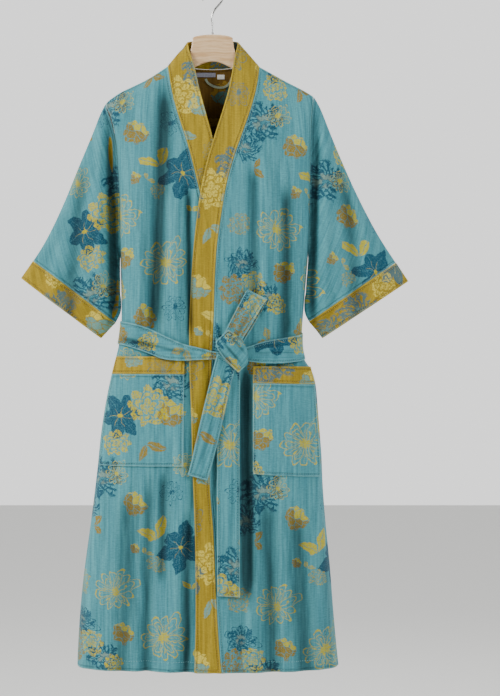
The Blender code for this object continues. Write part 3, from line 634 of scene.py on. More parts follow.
FACE = Threads(ground=(0.335, 0.61, 0.645), shade=(0.265, 0.53, 0.575), blue=(0.095, 0.28, 0.37),
               ochre=(0.57, 0.46, 0.04), yellow=(0.76, 0.70, 0.10), line=(0.74, 0.69, 0.17),
               pale=(0.50, 0.60, 0.54), lit=(0.50, 0.73, 0.74))
REVERSE = Threads(ground=(0.66, 0.57, 0.17), shade=(0.57, 0.48, 0.12), blue=(0.26, 0.43, 0.48),
                  ochre=(0.40, 0.62, 0.60), yellow=(0.84, 0.77, 0.32), line=(0.38, 0.46, 0.42),
                  pale=(0.36, 0.55, 0.58), lit=(0.79, 0.69, 0.27))
# The reverse's colours darkened, as painted shade on the back's inner side.
SHADED_INSIDE = Threads(ground=(0.44, 0.33, 0.13), shade=(0.37, 0.27, 0.10), blue=(0.18, 0.29, 0.31),
                 ochre=(0.24, 0.42, 0.41), yellow=(0.60, 0.48, 0.16), line=(0.26, 0.38, 0.36),
                 pale=(0.24, 0.38, 0.38), lit=(0.50, 0.40, 0.18))


def blank(name: str, settings: dict[str, object]) -> tuple[bpy.types.Material, Pen,
                                                           bpy.types.Node]:
    """A new material with its shader.

    Args:
        name: The material's name.
        settings: Values for the shader's inputs.

    Returns:
        The material, a pen for its tree and its shader.
    """
    made = bpy.data.materials.new(name)
    made.use_nodes = True
    shader = made.node_tree.nodes["Principled BSDF"]
    for key, value in settings.items():
        shader.inputs[key].default_value = value
    return made, Pen(made.node_tree), shader


@dataclass(frozen=True)
class Gauze:
    """Crinkled double gauze with woven flowers, read from the piece's own pattern map."""

    name: str
    threads: Threads
    crinkle: float = 0.9
    streaked: float = 1.0
    warp: float = 0.0011         # from thread to thread, in metres
    weft: float = 0.0013

    def make(self, weave: bpy.types.NodeTree) -> bpy.types.Material:
        """Builds the material.

        Args:
            weave: The flower weave group.

        Returns:
            The material.
        """
        made, pen, shader = blank(self.name, {
            "Roughness": 0.86, "Specular IOR Level": 0.18, "Sheen Weight": 0.06,
            "Sheen Roughness": 0.45})
        chart = pen.tree.nodes.new("ShaderNodeUVMap")
        chart.uv_map = "pattern"
        place = chart.outputs[0]
        flowers = pen.tree.nodes.new("ShaderNodeGroup")
        flowers.node_tree = weave
        pen.feed(flowers.inputs[0], place)
        # The crinkle runs down the cloth in soft streaks, with finer slubs inside them.
        streak = pen.stretched(place, (230.0, 11.0, 1.0), 3.0, 0.6)
        wide = pen.stretched(place, (48.0, 4.0, 1.0))
        slub = pen.stretched(place, (240.0, 900.0, 1.0), 1.0)
        cross = pen.stretched(place, (90.0, 520.0, 1.0), 2.0, 0.6)
        colour = pen.tint(pen.rise(wide * 0.5 + streak * 0.8, 0.45, 0.85), self.threads.shade,
                          self.threads.ground)
        for name in THREADS:
            colour = pen.tint(flowers.outputs[name], colour, getattr(self.threads, name.lower()))
        # rim is the distance to the piece's edge; valley is the painted shade of a fold or crease,
        # from 0 to 1.
        away, valley = pen.mark("rim"), pen.mark("valley")
        # The rolled edge is raised by the bump and tinted towards the lit colour as a painted
        # highlight; the stitching groove is darkened as painted shade.
        rolled_edge_and_highlight = pen.rise(away, 0.0032, 0.0008)
        seam = pen.rise(away, 0.0028, 0.0042) * pen.rise(away, 0.0064, 0.0048)
        colour = pen.tint(rolled_edge_and_highlight * 0.45, colour, self.threads.lit)
        swing = 0.08 * self.streaked
        # The colour is scaled by the slubs' tone, by painted shade in the stitching groove and in
        # folds and creases (valley), by the streaks and by the cross weave.
        dimming = (slub * 0.5 + 0.75) * (1.0 - seam * 0.22) * (1.0 - valley * 0.76)
        dimming = dimming * pen.rise(streak, 0.25, 0.75, 1 - swing, 1 + swing)
        colour_toned_and_shaded = pen.vector("SCALE", colour)
        pen.feed(colour_toned_and_shaded.node.inputs["Scale"], dimming * pen.rise(cross, 0.25, 0.75, 0.9, 1.1))
        pen.feed(shader.inputs["Base Color"], colour_toned_and_shaded)
        # Two thread directions, close together, under the crinkle.
        x, y, _ = pen.split(place)
        cloth = (x * (TURN / self.warp)).sine() * (y * (TURN / self.weft)).sine()
        raised = pen.most(flowers.outputs["Ochre"], flowers.outputs["Yellow"])
        height = cloth * 0.05
        for part, share in ((streak, 0.6 * self.streaked), (cross, 0.35), (slub, 0.35),
                            (wide, 0.6 * self.streaked), (raised, 0.2), (seam, -0.8),
                            (rolled_edge_and_highlight, 0.5)):
            height = part * share + height
        pen.bump(shader, height, self.crinkle, 0.0016)
        return made


@dataclass(frozen=True)
class PlainWeave:
    """A one-colour woven finish for tape, labels and sewing thread."""

    name: str
    colour: Colour
    dark: Colour
    pitch: float = 0.0009

    def make(self) -> bpy.types.Material:
        """Builds the material.

        Returns:
            The material.
        """
        made, pen, shader = blank(self.name, {"Roughness": 0.8, "Sheen Weight": 0.15})
        spot = pen.spot()
        x, y, z = pen.split(spot)
        turns = TURN / self.pitch
        cross = ((x + y) * turns).sine() * (z * turns).sine()
        mottle = pen.noise(spot, 500)
        share = pen.rise(cross * 0.25 + mottle, 0.2, 0.8)
        pen.feed(shader.inputs["Base Color"], pen.tint(share, self.dark, self.colour))
        pen.bump(shader, cross * 0.5 + mottle, 0.5, 0.0003)
        return made


@dataclass(frozen=True)
class PaleWood:
    """Clear-varnished pale wood with its grain along the hanger."""

    name: str = "pale beech"
    light: Colour = (0.90, 0.77, 0.60)
    dark: Colour = (0.79, 0.62, 0.43)

    def make(self) -> bpy.types.Material:
        """Builds the material.

        Returns:
            The material.
        """
        made, pen, shader = blank(self.name, {"Coat Weight": 0.35, "Coat Roughness": 0.2})
        spot = pen.spot()
        grain = pen.vector("MULTIPLY_ADD", pen.swirl(spot, 9), (0.0, 0.02, 0.02), spot)
        ring = pen.stretched(grain, (14.0, 260.0, 260.0), 4.0, 0.6)
        fleck = pen.stretched(spot, (90.0, 1400.0, 1400.0), 1.0)
        share = pen.rise(fleck * 0.25 + ring, 0.42, 0.78)
        pen.feed(shader.inputs["Base Color"], pen.tint(share, self.dark, self.light))
        pen.feed(shader.inputs["Roughness"], pen.rise(ring, 0.3, 0.7, 0.5, 0.34))
        pen.bump(shader, ring, 0.25, 0.0003)
        return made


@dataclass(frozen=True)
class BrightWire:
    """Plated steel wire with fine drawing marks."""

    name: str = "plated wire"
    colour: Colour = (0.80, 0.80, 0.79)

    def make(self) -> bpy.types.Material:
        """Builds the material.

        Returns:
            The material.
        """
        made, pen, shader = blank(self.name, {"Metallic": 1.0})
        mark = pen.stretched(pen.spot(), (900.0, 900.0, 60.0))
        dull = tuple(0.9 * c for c in self.colour)
        pen.feed(shader.inputs["Base Color"], pen.tint(mark, dull, self.colour))
        pen.feed(shader.inputs["Roughness"], pen.rise(mark, 0.3, 0.7, 0.18, 0.32))
        return made


@dataclass(frozen=True)
class PaintedFloor:
    """The studio's plain pale floor."""

    name: str = "pale floor"
    colour: Colour = (0.90, 0.90, 0.89)

    def make(self) -> bpy.types.Material:
        """Builds the material.

        Returns:
            The material.
        """
        return blank(self.name, {"Base Color": (*linear(*self.colour), 1), "Roughness": 0.7})[0]


@dataclass
class Finishes:
    """Every material of the robe, made once."""

    face: bpy.types.Material
    reverse: bpy.types.Material
    tape: bpy.types.Material
    grey_label: bpy.types.Material
    white_label: bpy.types.Material
    teal_thread: bpy.types.Material
    gold_thread: bpy.types.Material
    # the reverse in painted shade, for the back's inner side
    inside: bpy.types.Material
    wood: bpy.types.Material
    wire: bpy.types.Material
    floor: bpy.types.Material

    @classmethod
    def make(cls) -> "Finishes":
        """Builds them all.

        Returns:
            The set.
        """
        weave = FlowerWeave().build()
        return cls(
            face=Gauze("gauze face", FACE).make(weave),
            reverse=Gauze("gauze reverse", REVERSE, crinkle=0.8, streaked=0.4).make(weave),
            inside=Gauze("gauze inside", SHADED_INSIDE, crinkle=0.8, streaked=0.4).make(weave),
            tape=PlainWeave("tape", (0.62, 0.66, 0.56), (0.46, 0.50, 0.42)).make(),
            grey_label=PlainWeave("grey label", (0.60, 0.60, 0.66), (0.46, 0.46, 0.52)).make(),
            white_label=PlainWeave("white label", (0.93, 0.93, 0.91), (0.8, 0.8, 0.78)).make(),
            teal_thread=PlainWeave("teal thread", (0.52, 0.74, 0.75), (0.36, 0.60, 0.62)).make(),
            gold_thread=PlainWeave("gold thread", (0.80, 0.68, 0.34), (0.62, 0.50, 0.2)).make(),
            wood=PaleWood().make(),
            wire=BrightWire().make(),
            floor=PaintedFloor().make(),
        )


@dataclass(frozen=True)
class Grain:
    """How the woven pattern lies on one piece.

    At the pivot (x and drop, in metres) the pattern map reads spot; turn is in degrees.
    """

    pivot: tuple[float, float]
    spot: tuple[float, float] = (0.0, 0.0)
    turn: float = 0.0
    under: tuple[float, float] | None = None    # the spot for a crossing's other end

    BACK = (0.35, 0.21)          # on the back the map is mirrored and starts lower
    SIDE = 0.08                  # this far out the cloth begins to turn towards the back
    SIDE_SHARE = 0.8             # so much of its depth then counts as width,
    SIDE_DEPTH = (0.022, 0.05)   # measured from this far in front, up to this much
    CROSSING = (0.0008, 0.289)   # x and drop where the band's two ends cross,
    SLOPE = 0.27                 # how far to the left the crossing's line runs down
    LAST = 0.37                  # and where it ends

    def chart(self, points: np.ndarray) -> np.ndarray:
        """The pattern map of some points.

        Args:
            points: Points of the piece, in metres.

        Returns:
            One row of two values a point; the back reads mirrored, further along.
        """
        x, y, drop = points[:, 0], points[:, 1], -points[:, 2]
        depth = np.clip(y + self.SIDE_DEPTH[0], 0, self.SIDE_DEPTH[1])
        turned = np.clip((np.abs(x) - self.SIDE) / self.SIDE, 0, 1) * depth
        x = x + np.sign(x) * turned * self.SIDE_SHARE
        x = np.where(y > 0, self.BACK[0] - x, x)
        drop = np.where(y > 0, drop + self.BACK[1], drop)
        angle = math.radians(self.turn)
        east, south = x - self.pivot[0], drop - self.pivot[1]
        chart = np.stack([east * math.cos(angle) - south * math.sin(angle) + self.spot[0],
                          east * math.sin(angle) + south * math.cos(angle) + self.spot[1]], 1)
        if self.under:
            past = np.clip(drop - self.CROSSING[1], 0, None)
            low = (points[:, 0] < self.CROSSING[0] - self.SLOPE * past) & (drop < self.LAST)
            chart[low] += np.array(self.under) - np.array(self.spot)
        return chart


@dataclass(frozen=True)
class Hang:
    """Folds finer than the solid's own, as sums of long waves down the cloth.

    across and down are the shortest and longest wavelengths in metres, depth is the height.
    """

    seed: int
    depth: float
    across: tuple[float, float]
    down: tuple[float, float]
    waves: int = 9
    turn: float = 0.0

    def height(self, points: np.ndarray) -> np.ndarray:
        """How far each point is pushed out.

        Args:
            points: Points in metres.

        Returns:
            One height a point, in metres.
        """
        rng = np.random.default_rng(self.seed)
        angle = math.radians(self.turn)
        x = points[:, 0] * math.cos(angle) - points[:, 2] * math.sin(angle)
        z = points[:, 0] * math.sin(angle) + points[:, 2] * math.cos(angle)
        total = np.zeros(len(points))
        for _ in range(self.waves):
            wide, long = rng.uniform(*self.across), rng.uniform(*self.down)
            phase, lean = rng.uniform(0, 2 * math.pi), rng.choice((-1, 1))
            total += np.sin(2 * math.pi * (x / wide + lean * z / long) + phase)
        return total * self.depth / math.sqrt(self.waves)


BODY_HANG = (Hang(3, 0.0015, (0.05, 0.11), (0.5, 1.1)),
             Hang(5, 0.0007, (0.018, 0.034), (0.1, 0.3)))
SLEEVE_HANG = {
    side: (Hang(seed, 0.0009, (0.045, 0.09), (0.3, 0.7), turn=-24 * side),
           Hang(seed + 2, 0.0005, (0.018, 0.034), (0.1, 0.25), turn=-24 * side))
    for side, seed in ((-1, 7), (1, 11))
}


def ease(share: np.ndarray) -> np.ndarray:
    """A share from 0 to 1 with its two ends rounded."""
    return share * share * (3 - 2 * share)


@dataclass(frozen=True)
class Fold:
    """One soft valley (or ridge, where depth is below 0) down the cloth, sizes in metres.

    It runs from top to foot (x, drop) and fades in and out over ends, a share of its length.
    """

    top: tuple[float, float]
    foot: tuple[float, float]
    half: float
    depth: float
    ends: float = 0.15

    def height(self, x: np.ndarray, drop: np.ndarray) -> np.ndarray:
        """How far the fold pushes each point out.

        Args:
            x: The points' x, in metres.
            drop: How far each lies below the rail.

        Returns:
            One push a point, in metres, below 0 for a valley.
        """
        share = (drop - self.top[1]) / (self.foot[1] - self.top[1])
        middle = self.top[0] + (self.foot[0] - self.top[0]) * share
        fade = ease(np.clip(share / self.ends, 0, 1) * np.clip((1 - share) / self.ends, 0, 1))
        return -self.depth * fade * np.exp(-((x - middle) / self.half) ** 2)


FRONT_FOLDS = (
    Fold((-0.084, 0.17), (-0.105, 0.67), 0.014, 0.0100),
    Fold((-0.130, 0.30), (-0.135, 0.67), 0.016, -0.0068),
    Fold((-0.066, 0.37), (-0.070, 0.67), 0.012, -0.0054),
    Fold((-0.044, 0.36), (-0.038, 0.66), 0.007, 0.0081),
    Fold((0.074, 0.33), (0.078, 0.62), 0.011, 0.0068),
    Fold((0.100, 0.30), (0.100, 0.66), 0.014, -0.0054),
    Fold((0.135, 0.36), (0.130, 0.68), 0.012, 0.0081),
    Fold((-0.112, 0.88), (-0.118, 1.32), 0.009, 0.0068),
    Fold((-0.086, 0.88), (-0.090, 1.10), 0.008, 0.0054),
    Fold((-0.042, 0.95), (-0.046, 1.32), 0.009, 0.0068),
    Fold((-0.150, 0.92), (-0.165, 1.32), 0.016, 0.0054),
    Fold((0.060, 0.68), (0.064, 1.14), 0.012, 0.0149),
    Fold((0.100, 0.92), (0.110, 1.32), 0.014, 0.0068),
    Fold((0.150, 0.95), (0.175, 1.32), 0.016, 0.0068),
)
BACK_FOLDS = (
    Fold((-0.128, 0.26), (-0.134, 0.62), 0.015, 0.0062),
    Fold((-0.098, 0.40), (-0.090, 0.66), 0.010, -0.0040),
    Fold((-0.045, 0.46), (-0.052, 0.67), 0.009, 0.0052),
    Fold((0.012, 0.38), (0.016, 0.66), 0.013, 0.0046),
    Fold((0.070, 0.44), (0.064, 0.67), 0.010, 0.0058),
    Fold((0.128, 0.27), (0.136, 0.63), 0.016, 0.0066),
    Fold((-0.150, 0.72), (-0.172, 1.32), 0.014, 0.0054),
    Fold((-0.092, 0.71), (-0.104, 1.08), 0.010, 0.0066),
    Fold((-0.040, 0.78), (-0.046, 1.32), 0.013, 0.0048),
    Fold((0.022, 0.70), (0.030, 1.02), 0.009, 0.0060),
    Fold((0.078, 0.74), (0.094, 1.32), 0.015, 0.0058),
    Fold((0.142, 0.86), (0.160, 1.32), 0.012, 0.0046),
)
ARM_FOLDS = {
    -1: (Fold((-0.206, 0.22), (-0.198, 0.66), 0.012, -0.0081),
         Fold((-0.187, 0.18), (-0.176, 0.68), 0.015, 0.0125),
         Fold((-0.235, 0.30), (-0.262, 0.66), 0.012, 0.0054),
         Fold((-0.262, 0.36), (-0.300, 0.64), 0.011, -0.0041)),
    1: (Fold((0.208, 0.22), (0.200, 0.66), 0.012, -0.0081),
        Fold((0.188, 0.20), (0.181, 0.67), 0.011, 0.0086),
        Fold((0.238, 0.30), (0.268, 0.66), 0.012, 0.0054),
        Fold((0.268, 0.36), (0.306, 0.64), 0.011, -0.0041)),
}


@dataclass(frozen=True)
class Crease:
    """A crease from one end to another (x, drop), in metres; depth below 0 makes a ridge."""

    start: tuple[float, float]
    end: tuple[float, float]
    half: float
    depth: float
    ends: float = 0.02           # it fades in and out over this much

    def height(self, x: np.ndarray, drop: np.ndarray) -> np.ndarray:
        """How far the crease pushes each point out.

        Args:
            x: The points' x, in metres.
            drop: How far each lies below the rail.

        Returns:
            One push a point, in metres, below 0 for a valley.
        """
        way = np.array(self.end) - np.array(self.start)
        length = float(np.hypot(*way))
        way = way / length
        along = (x - self.start[0]) * way[0] + (drop - self.start[1]) * way[1]
        aside = (x - self.start[0]) * way[1] - (drop - self.start[1]) * way[0]
        fade = (np.clip(along / self.ends, 0, 1)
                * np.clip((length - along) / self.ends, 0, 1))
        return -self.depth * fade * np.exp(-(aside / self.half) ** 2)


CREASES = {
    "belt_waist": (
        Crease((-0.172, 0.648), (-0.026, 0.683), 0.0058, 0.0026),
        Crease((-0.172, 0.634), (-0.045, 0.672), 0.0045, -0.0022),
        Crease((-0.120, 0.664), (-0.010, 0.687), 0.0036, -0.0016),
        Crease((0.066, 0.668), (0.135, 0.660), 0.0030, 0.0013),
        Crease((0.066, 0.677), (0.155, 0.674), 0.0030, 0.0011)),
    "belt_knot": (
        Crease((0.016, 0.652), (0.056, 0.698), 0.0026, 0.0022),
        Crease((0.030, 0.642), (0.066, 0.684), 0.0026, 0.0018),
        Crease((0.022, 0.645), (0.064, 0.692), 0.0040, -0.0018),
        Crease((0.010, 0.668), (0.046, 0.706), 0.0030, 0.0016)),
    "belt_loop": (Crease((0.036, 0.660), (0.088, 0.572), 0.0035, 0.0013),),
    "belt_tail_long": (Crease((0.037, 0.71), (0.036, 1.08), 0.0030, 0.0009),
                       Crease((0.024, 0.71), (0.022, 0.90), 0.0035, -0.0010)),
    "belt_tail_short": (Crease((0.026, 0.700), (-0.020, 0.880), 0.0035, 0.0011),),
}
# Where the armhole's seam runs: drop and distance from the middle, in metres.
ARMHOLE = {
    -1: ((0.222, 0.246, 0.286, 0.345, 0.401), (0.195, 0.187, 0.175, 0.171, 0.168)),
    1: ((0.209, 0.252, 0.322, 0.424, 0.480), (0.184, 0.179, 0.178, 0.176, 0.1745)),
}
WAIST = 0.668          # drop of the belt's middle, where the cloth is gathered
GATHER = Hang(17, 0.0011, (0.014, 0.026), (0.3, 0.9))


@dataclass(frozen=True)
class Drape:
    """How strongly the folds show from place to place, sizes in metres."""

    body: float = 0.6            # share of the fine folds on the body
    skirt: float = 0.35          # how much more of them the skirt's foot has
    skirt_top: float = 0.7       # drop at which that share begins to grow,
    skirt_run: float = 0.4       # and over how much it grows
    gathered: float = 0.055      # the belt gathers the cloth this far up and down
    shoulder: float = 0.12       # drop at which the folds begin, and over which they grow
    calm: float = 0.15           # share of them that is left above it
    arm_back: float = 0.6        # share of the arm folds on a sleeve's back
    deep: float = 0.009          # a fold this deep gets the darkest painted shade
    ripple: float = 0.003        # a ripple this deep adds
    ripple_shade: float = 0.35    # this much painted shade
    seam: float = 0.014          # the folds fade out this near the armhole's seam,
    seam_foot: float = 0.5       # down to this drop,
    seam_run: float = 0.05       # and are free again this much lower
    narrow: float = 0.014        # they fade out this near the robe's middle plane
    drawn: float = 0.0003        # a sleeve is drawn this far to the armhole,
    under: float = 0.0015        # and its underside this much further,
    under_top: float = 0.505     # from this drop on,
    under_run: float = 0.04      # growing over this much

    def settle(self, points: np.ndarray, sleeve: int) -> tuple[np.ndarray, np.ndarray]:
        """Moves points forwards or back along Y by the folds, and never past one another.

        Args:
            points: Points in metres.
            sleeve: -1 on the left sleeve, 1 on the right one, 0 on the body.

        Returns:
            The moved points, and the painted shade that each gets for lying deep in a fold or
            ripple, from 0 to 1.
        """
        x, y, drop = points[:, 0], points[:, 1], -points[:, 2]
        height = sum(h.height(points) for h in (SLEEVE_HANG[sleeve] if sleeve else BODY_HANG))
        if not sleeve:
            grown = np.clip((drop - self.skirt_top) / self.skirt_run, 0, 1)
            height *= self.body + self.skirt * grown
            near = np.exp(-((drop - WAIST) / self.gathered) ** 2)
            height += near * GATHER.height(points)
        height *= np.clip((drop - self.shoulder) / self.shoulder, self.calm, 1)
        front, back = (sum(f.height(x, drop) for f in folds) for folds in (
            (ARM_FOLDS[sleeve],) * 2 if sleeve else (FRONT_FOLDS, BACK_FOLDS)))
        pressed = np.where(y < 0, front, self.arm_back * back if sleeve else back)
        # Deep folds and ripples get painted shade, handed on as valley.
        bottom = np.clip(-pressed / self.deep, 0, 1)
        bottom += self.ripple_shade * np.clip(-height / self.ripple, 0, 1)
        side = sleeve or np.where(x < 0, -1, 1)
        seam = np.where(side < 0, np.interp(drop, *ARMHOLE[-1]), np.interp(drop, *ARMHOLE[1]))
        loose = ease(np.clip(np.abs(np.abs(x) - seam) / self.seam, 0, 1))
        loose = np.maximum(loose, np.clip((drop - self.seam_foot) / self.seam_run, 0, 1))
        share = ease(np.clip(np.abs(y) / self.narrow, 0, 1))
        moved = points.copy()
        moved[:, 1] = y + np.sign(y) * share * (height + pressed) * loose
        inner = np.clip((seam + self.seam - np.abs(x)) / self.seam, 0, 1)
        below = np.clip((drop - self.under_top) / self.under_run, 0, 1)
        moved[:, 0] -= sleeve * inner * (self.drawn + self.under * below)
        return moved, np.clip(bottom * share, 0, 1)


DRAPE = Drape()
STEEP = 0.6                  # an upper or lower edge's way inwards rises or falls this much
CHEST = (0.13, -0.012)       # half the width of the front seams' zone, and how far front it is


class Edge(Enum):
    """Which edges of a piece a row of stitches follows, by the way inwards from them."""

    ALL = "all"
    LOWER = "lower"
    OPEN = "open"            # all but the upper edge
    SEAM = "seam"            # the front edge of a body panel, beside the band

    def holds(self, place: Vector, inward: Vector) -> bool:
        """Tells whether an edge point belongs to the row.

        Args:
            place: The edge point.
            inward: The way inwards from it.

        Returns:
            Whether it does.
        """
        if self is Edge.LOWER:
            return inward.z > STEEP
        if self is Edge.OPEN:
            return inward.z > -STEEP
        if self is Edge.SEAM:
            return inward.x * place.x > 0 and place.y < CHEST[1] and abs(place.x) < CHEST[0]
        return True


@dataclass(frozen=True)
class StitchRow:
    """One row of stitches: along which edges, how far in from them, in which thread."""

    edge: Edge = Edge.ALL
    inset: float = 0.0046
    gold: bool = False
    lift: float = 0.0002         # how far the thread lies above the cloth
    least: int = 4               # a row of fewer points is left out

    def runs(self, loop: list[Place]) -> list[list[Vector]]:
        """The stretches of one outline that the row follows.

        Args:
            loop: The outline's points.

        Returns:
            Lines of points, inset and just above the cloth.
        """
        lines: list[list[Vector]] = [[]]
        for place, normal, inward in [*loop, loop[0]]:
            if self.edge.holds(place, inward):
                lines[-1].append(place + inward * self.inset + normal * self.lift)
            elif lines[-1]:
                lines.append([])
        return [line for line in lines if len(line) >= self.least]


HEM = StitchRow(Edge.LOWER, 0.018)
ROUND = (StitchRow(),)
GOLD_ROUND = (StitchRow(gold=True),)
OPEN = (StitchRow(Edge.OPEN),)
FRONT_SEAM = StitchRow(Edge.SEAM)


class Stuff(Enum):
    """What a piece of cloth is made of: the record's slot, and its wall in metres."""

    GAUZE = ("gauze_teal", 0.0018)
    TURNED = ("gauze_mustard", 0.0026)       # with the reverse outside
    BAND = ("gauze_mustard", 0.003)          # the same, thicker
    BELT = ("belt_teal", 0.0024)

    @property
    def slot(self) -> str:
        """The record's material slot."""
        return self.value[0]

    @property
    def wall(self) -> float:
        """The thickness in metres."""
        return self.value[1]

    @property
    def turned(self) -> bool:
        """True where the gauze's reverse is outside."""
        return self in (Stuff.TURNED, Stuff.BAND)


@dataclass(frozen=True)
class Sheet:
    """How one piece of cloth is cut and how it hangs, in metres and square metres."""

    node: str
    stuff: Stuff
    grain: Grain
    flat: tuple[float, float]
    cut: float
    rests: tuple[str, ...]
    held: str = "hung"
    sleeve: int = 0
    layers: tuple[str, ...] = ()
    stitches: tuple[StitchRow, ...] = ()


def placed(name: str, data: bpy.types.ID) -> bpy.types.Object:
    """A new object in the scene.

    Args:
        name: Its name.
        data: The mesh, light or camera that it shows.

    Returns:
        The object.
    """
    made = bpy.data.objects.new(name, data)
    bpy.context.scene.collection.objects.link(made)
    return made


def worked(holder: bpy.types.Object) -> bpy.types.Mesh:
    """What an object's modifiers make of it.

    Args:
        holder: The object, which is removed.

    Returns:
        The mesh.
    """
    graph = bpy.context.evaluated_depsgraph_get()
    mesh = bpy.data.meshes.new_from_object(holder.evaluated_get(graph))
    holder.modifiers.clear()
    bpy.data.objects.remove(holder)
    return mesh


def joined(node: bpy.types.Object) -> bmesh.types.BMesh:
    """A CAD node's surface as joined quads.

    Args:
        node: The CAD node.

    Returns:
        The mesh.
    """
    work = bmesh.new()
    work.from_mesh(node.data)
    bmesh.ops.remove_doubles(work, verts=work.verts, dist=WELD)
    bmesh.ops.join_triangles(work, faces=work.faces, angle_face_threshold=math.pi,
                             angle_shape_threshold=math.pi)
    return work


def crisped(work: bmesh.types.BMesh, crease: float) -> set[bmesh.types.BMEdge]:
    """Creases a mesh's sharp edges.

    Args:
        work: The mesh.
        crease: How crisp they stay, up to 1.

    Returns:
        The sharp edges.
    """
    layer = work.edges.layers.float.new("crease_edge")
    sharp = {e for e in work.edges if len(e.link_faces) == 2 and e.calc_face_angle(0) > SHARP}
    for edge in sharp:
        edge[layer] = crease
    return sharp


def subdivided(work: bmesh.types.BMesh, name: str, levels: int) -> bpy.types.Mesh:
    """A mesh subdivided, its faces keeping one of three material marks.

    Args:
        work: The mesh, which is freed.
        name: A name for what is made on the way.
        levels: How often it is subdivided.

    Returns:
        The fine mesh.
    """
    mesh = bpy.data.meshes.new(name + "_rough")
    work.to_mesh(mesh)
    work.free()
    for _ in range(3):
        mesh.materials.append(None)
    holder = placed(name + "_rough", mesh)
    smooth = holder.modifiers.new("smooth", "SUBSURF")
    smooth.levels = smooth.render_levels = levels
    return worked(holder)


def shown(name: str, mesh: bpy.types.Mesh, slot: str, node: str = "") -> bpy.types.Object:
    """Puts a finished piece in the scene.

    Args:
        name: The piece's name.
        mesh: Its mesh.
        slot: The record's material slot; not used.
        node: The CAD node in whose place it stands, if any.

    Returns:
        The piece.
    """
    mesh.polygons.foreach_set("use_smooth", np.ones(len(mesh.polygons), bool))
    mesh.update()
    piece = placed(name, mesh)
    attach(piece, "root")
    if node:
        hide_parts(node)
    return piece


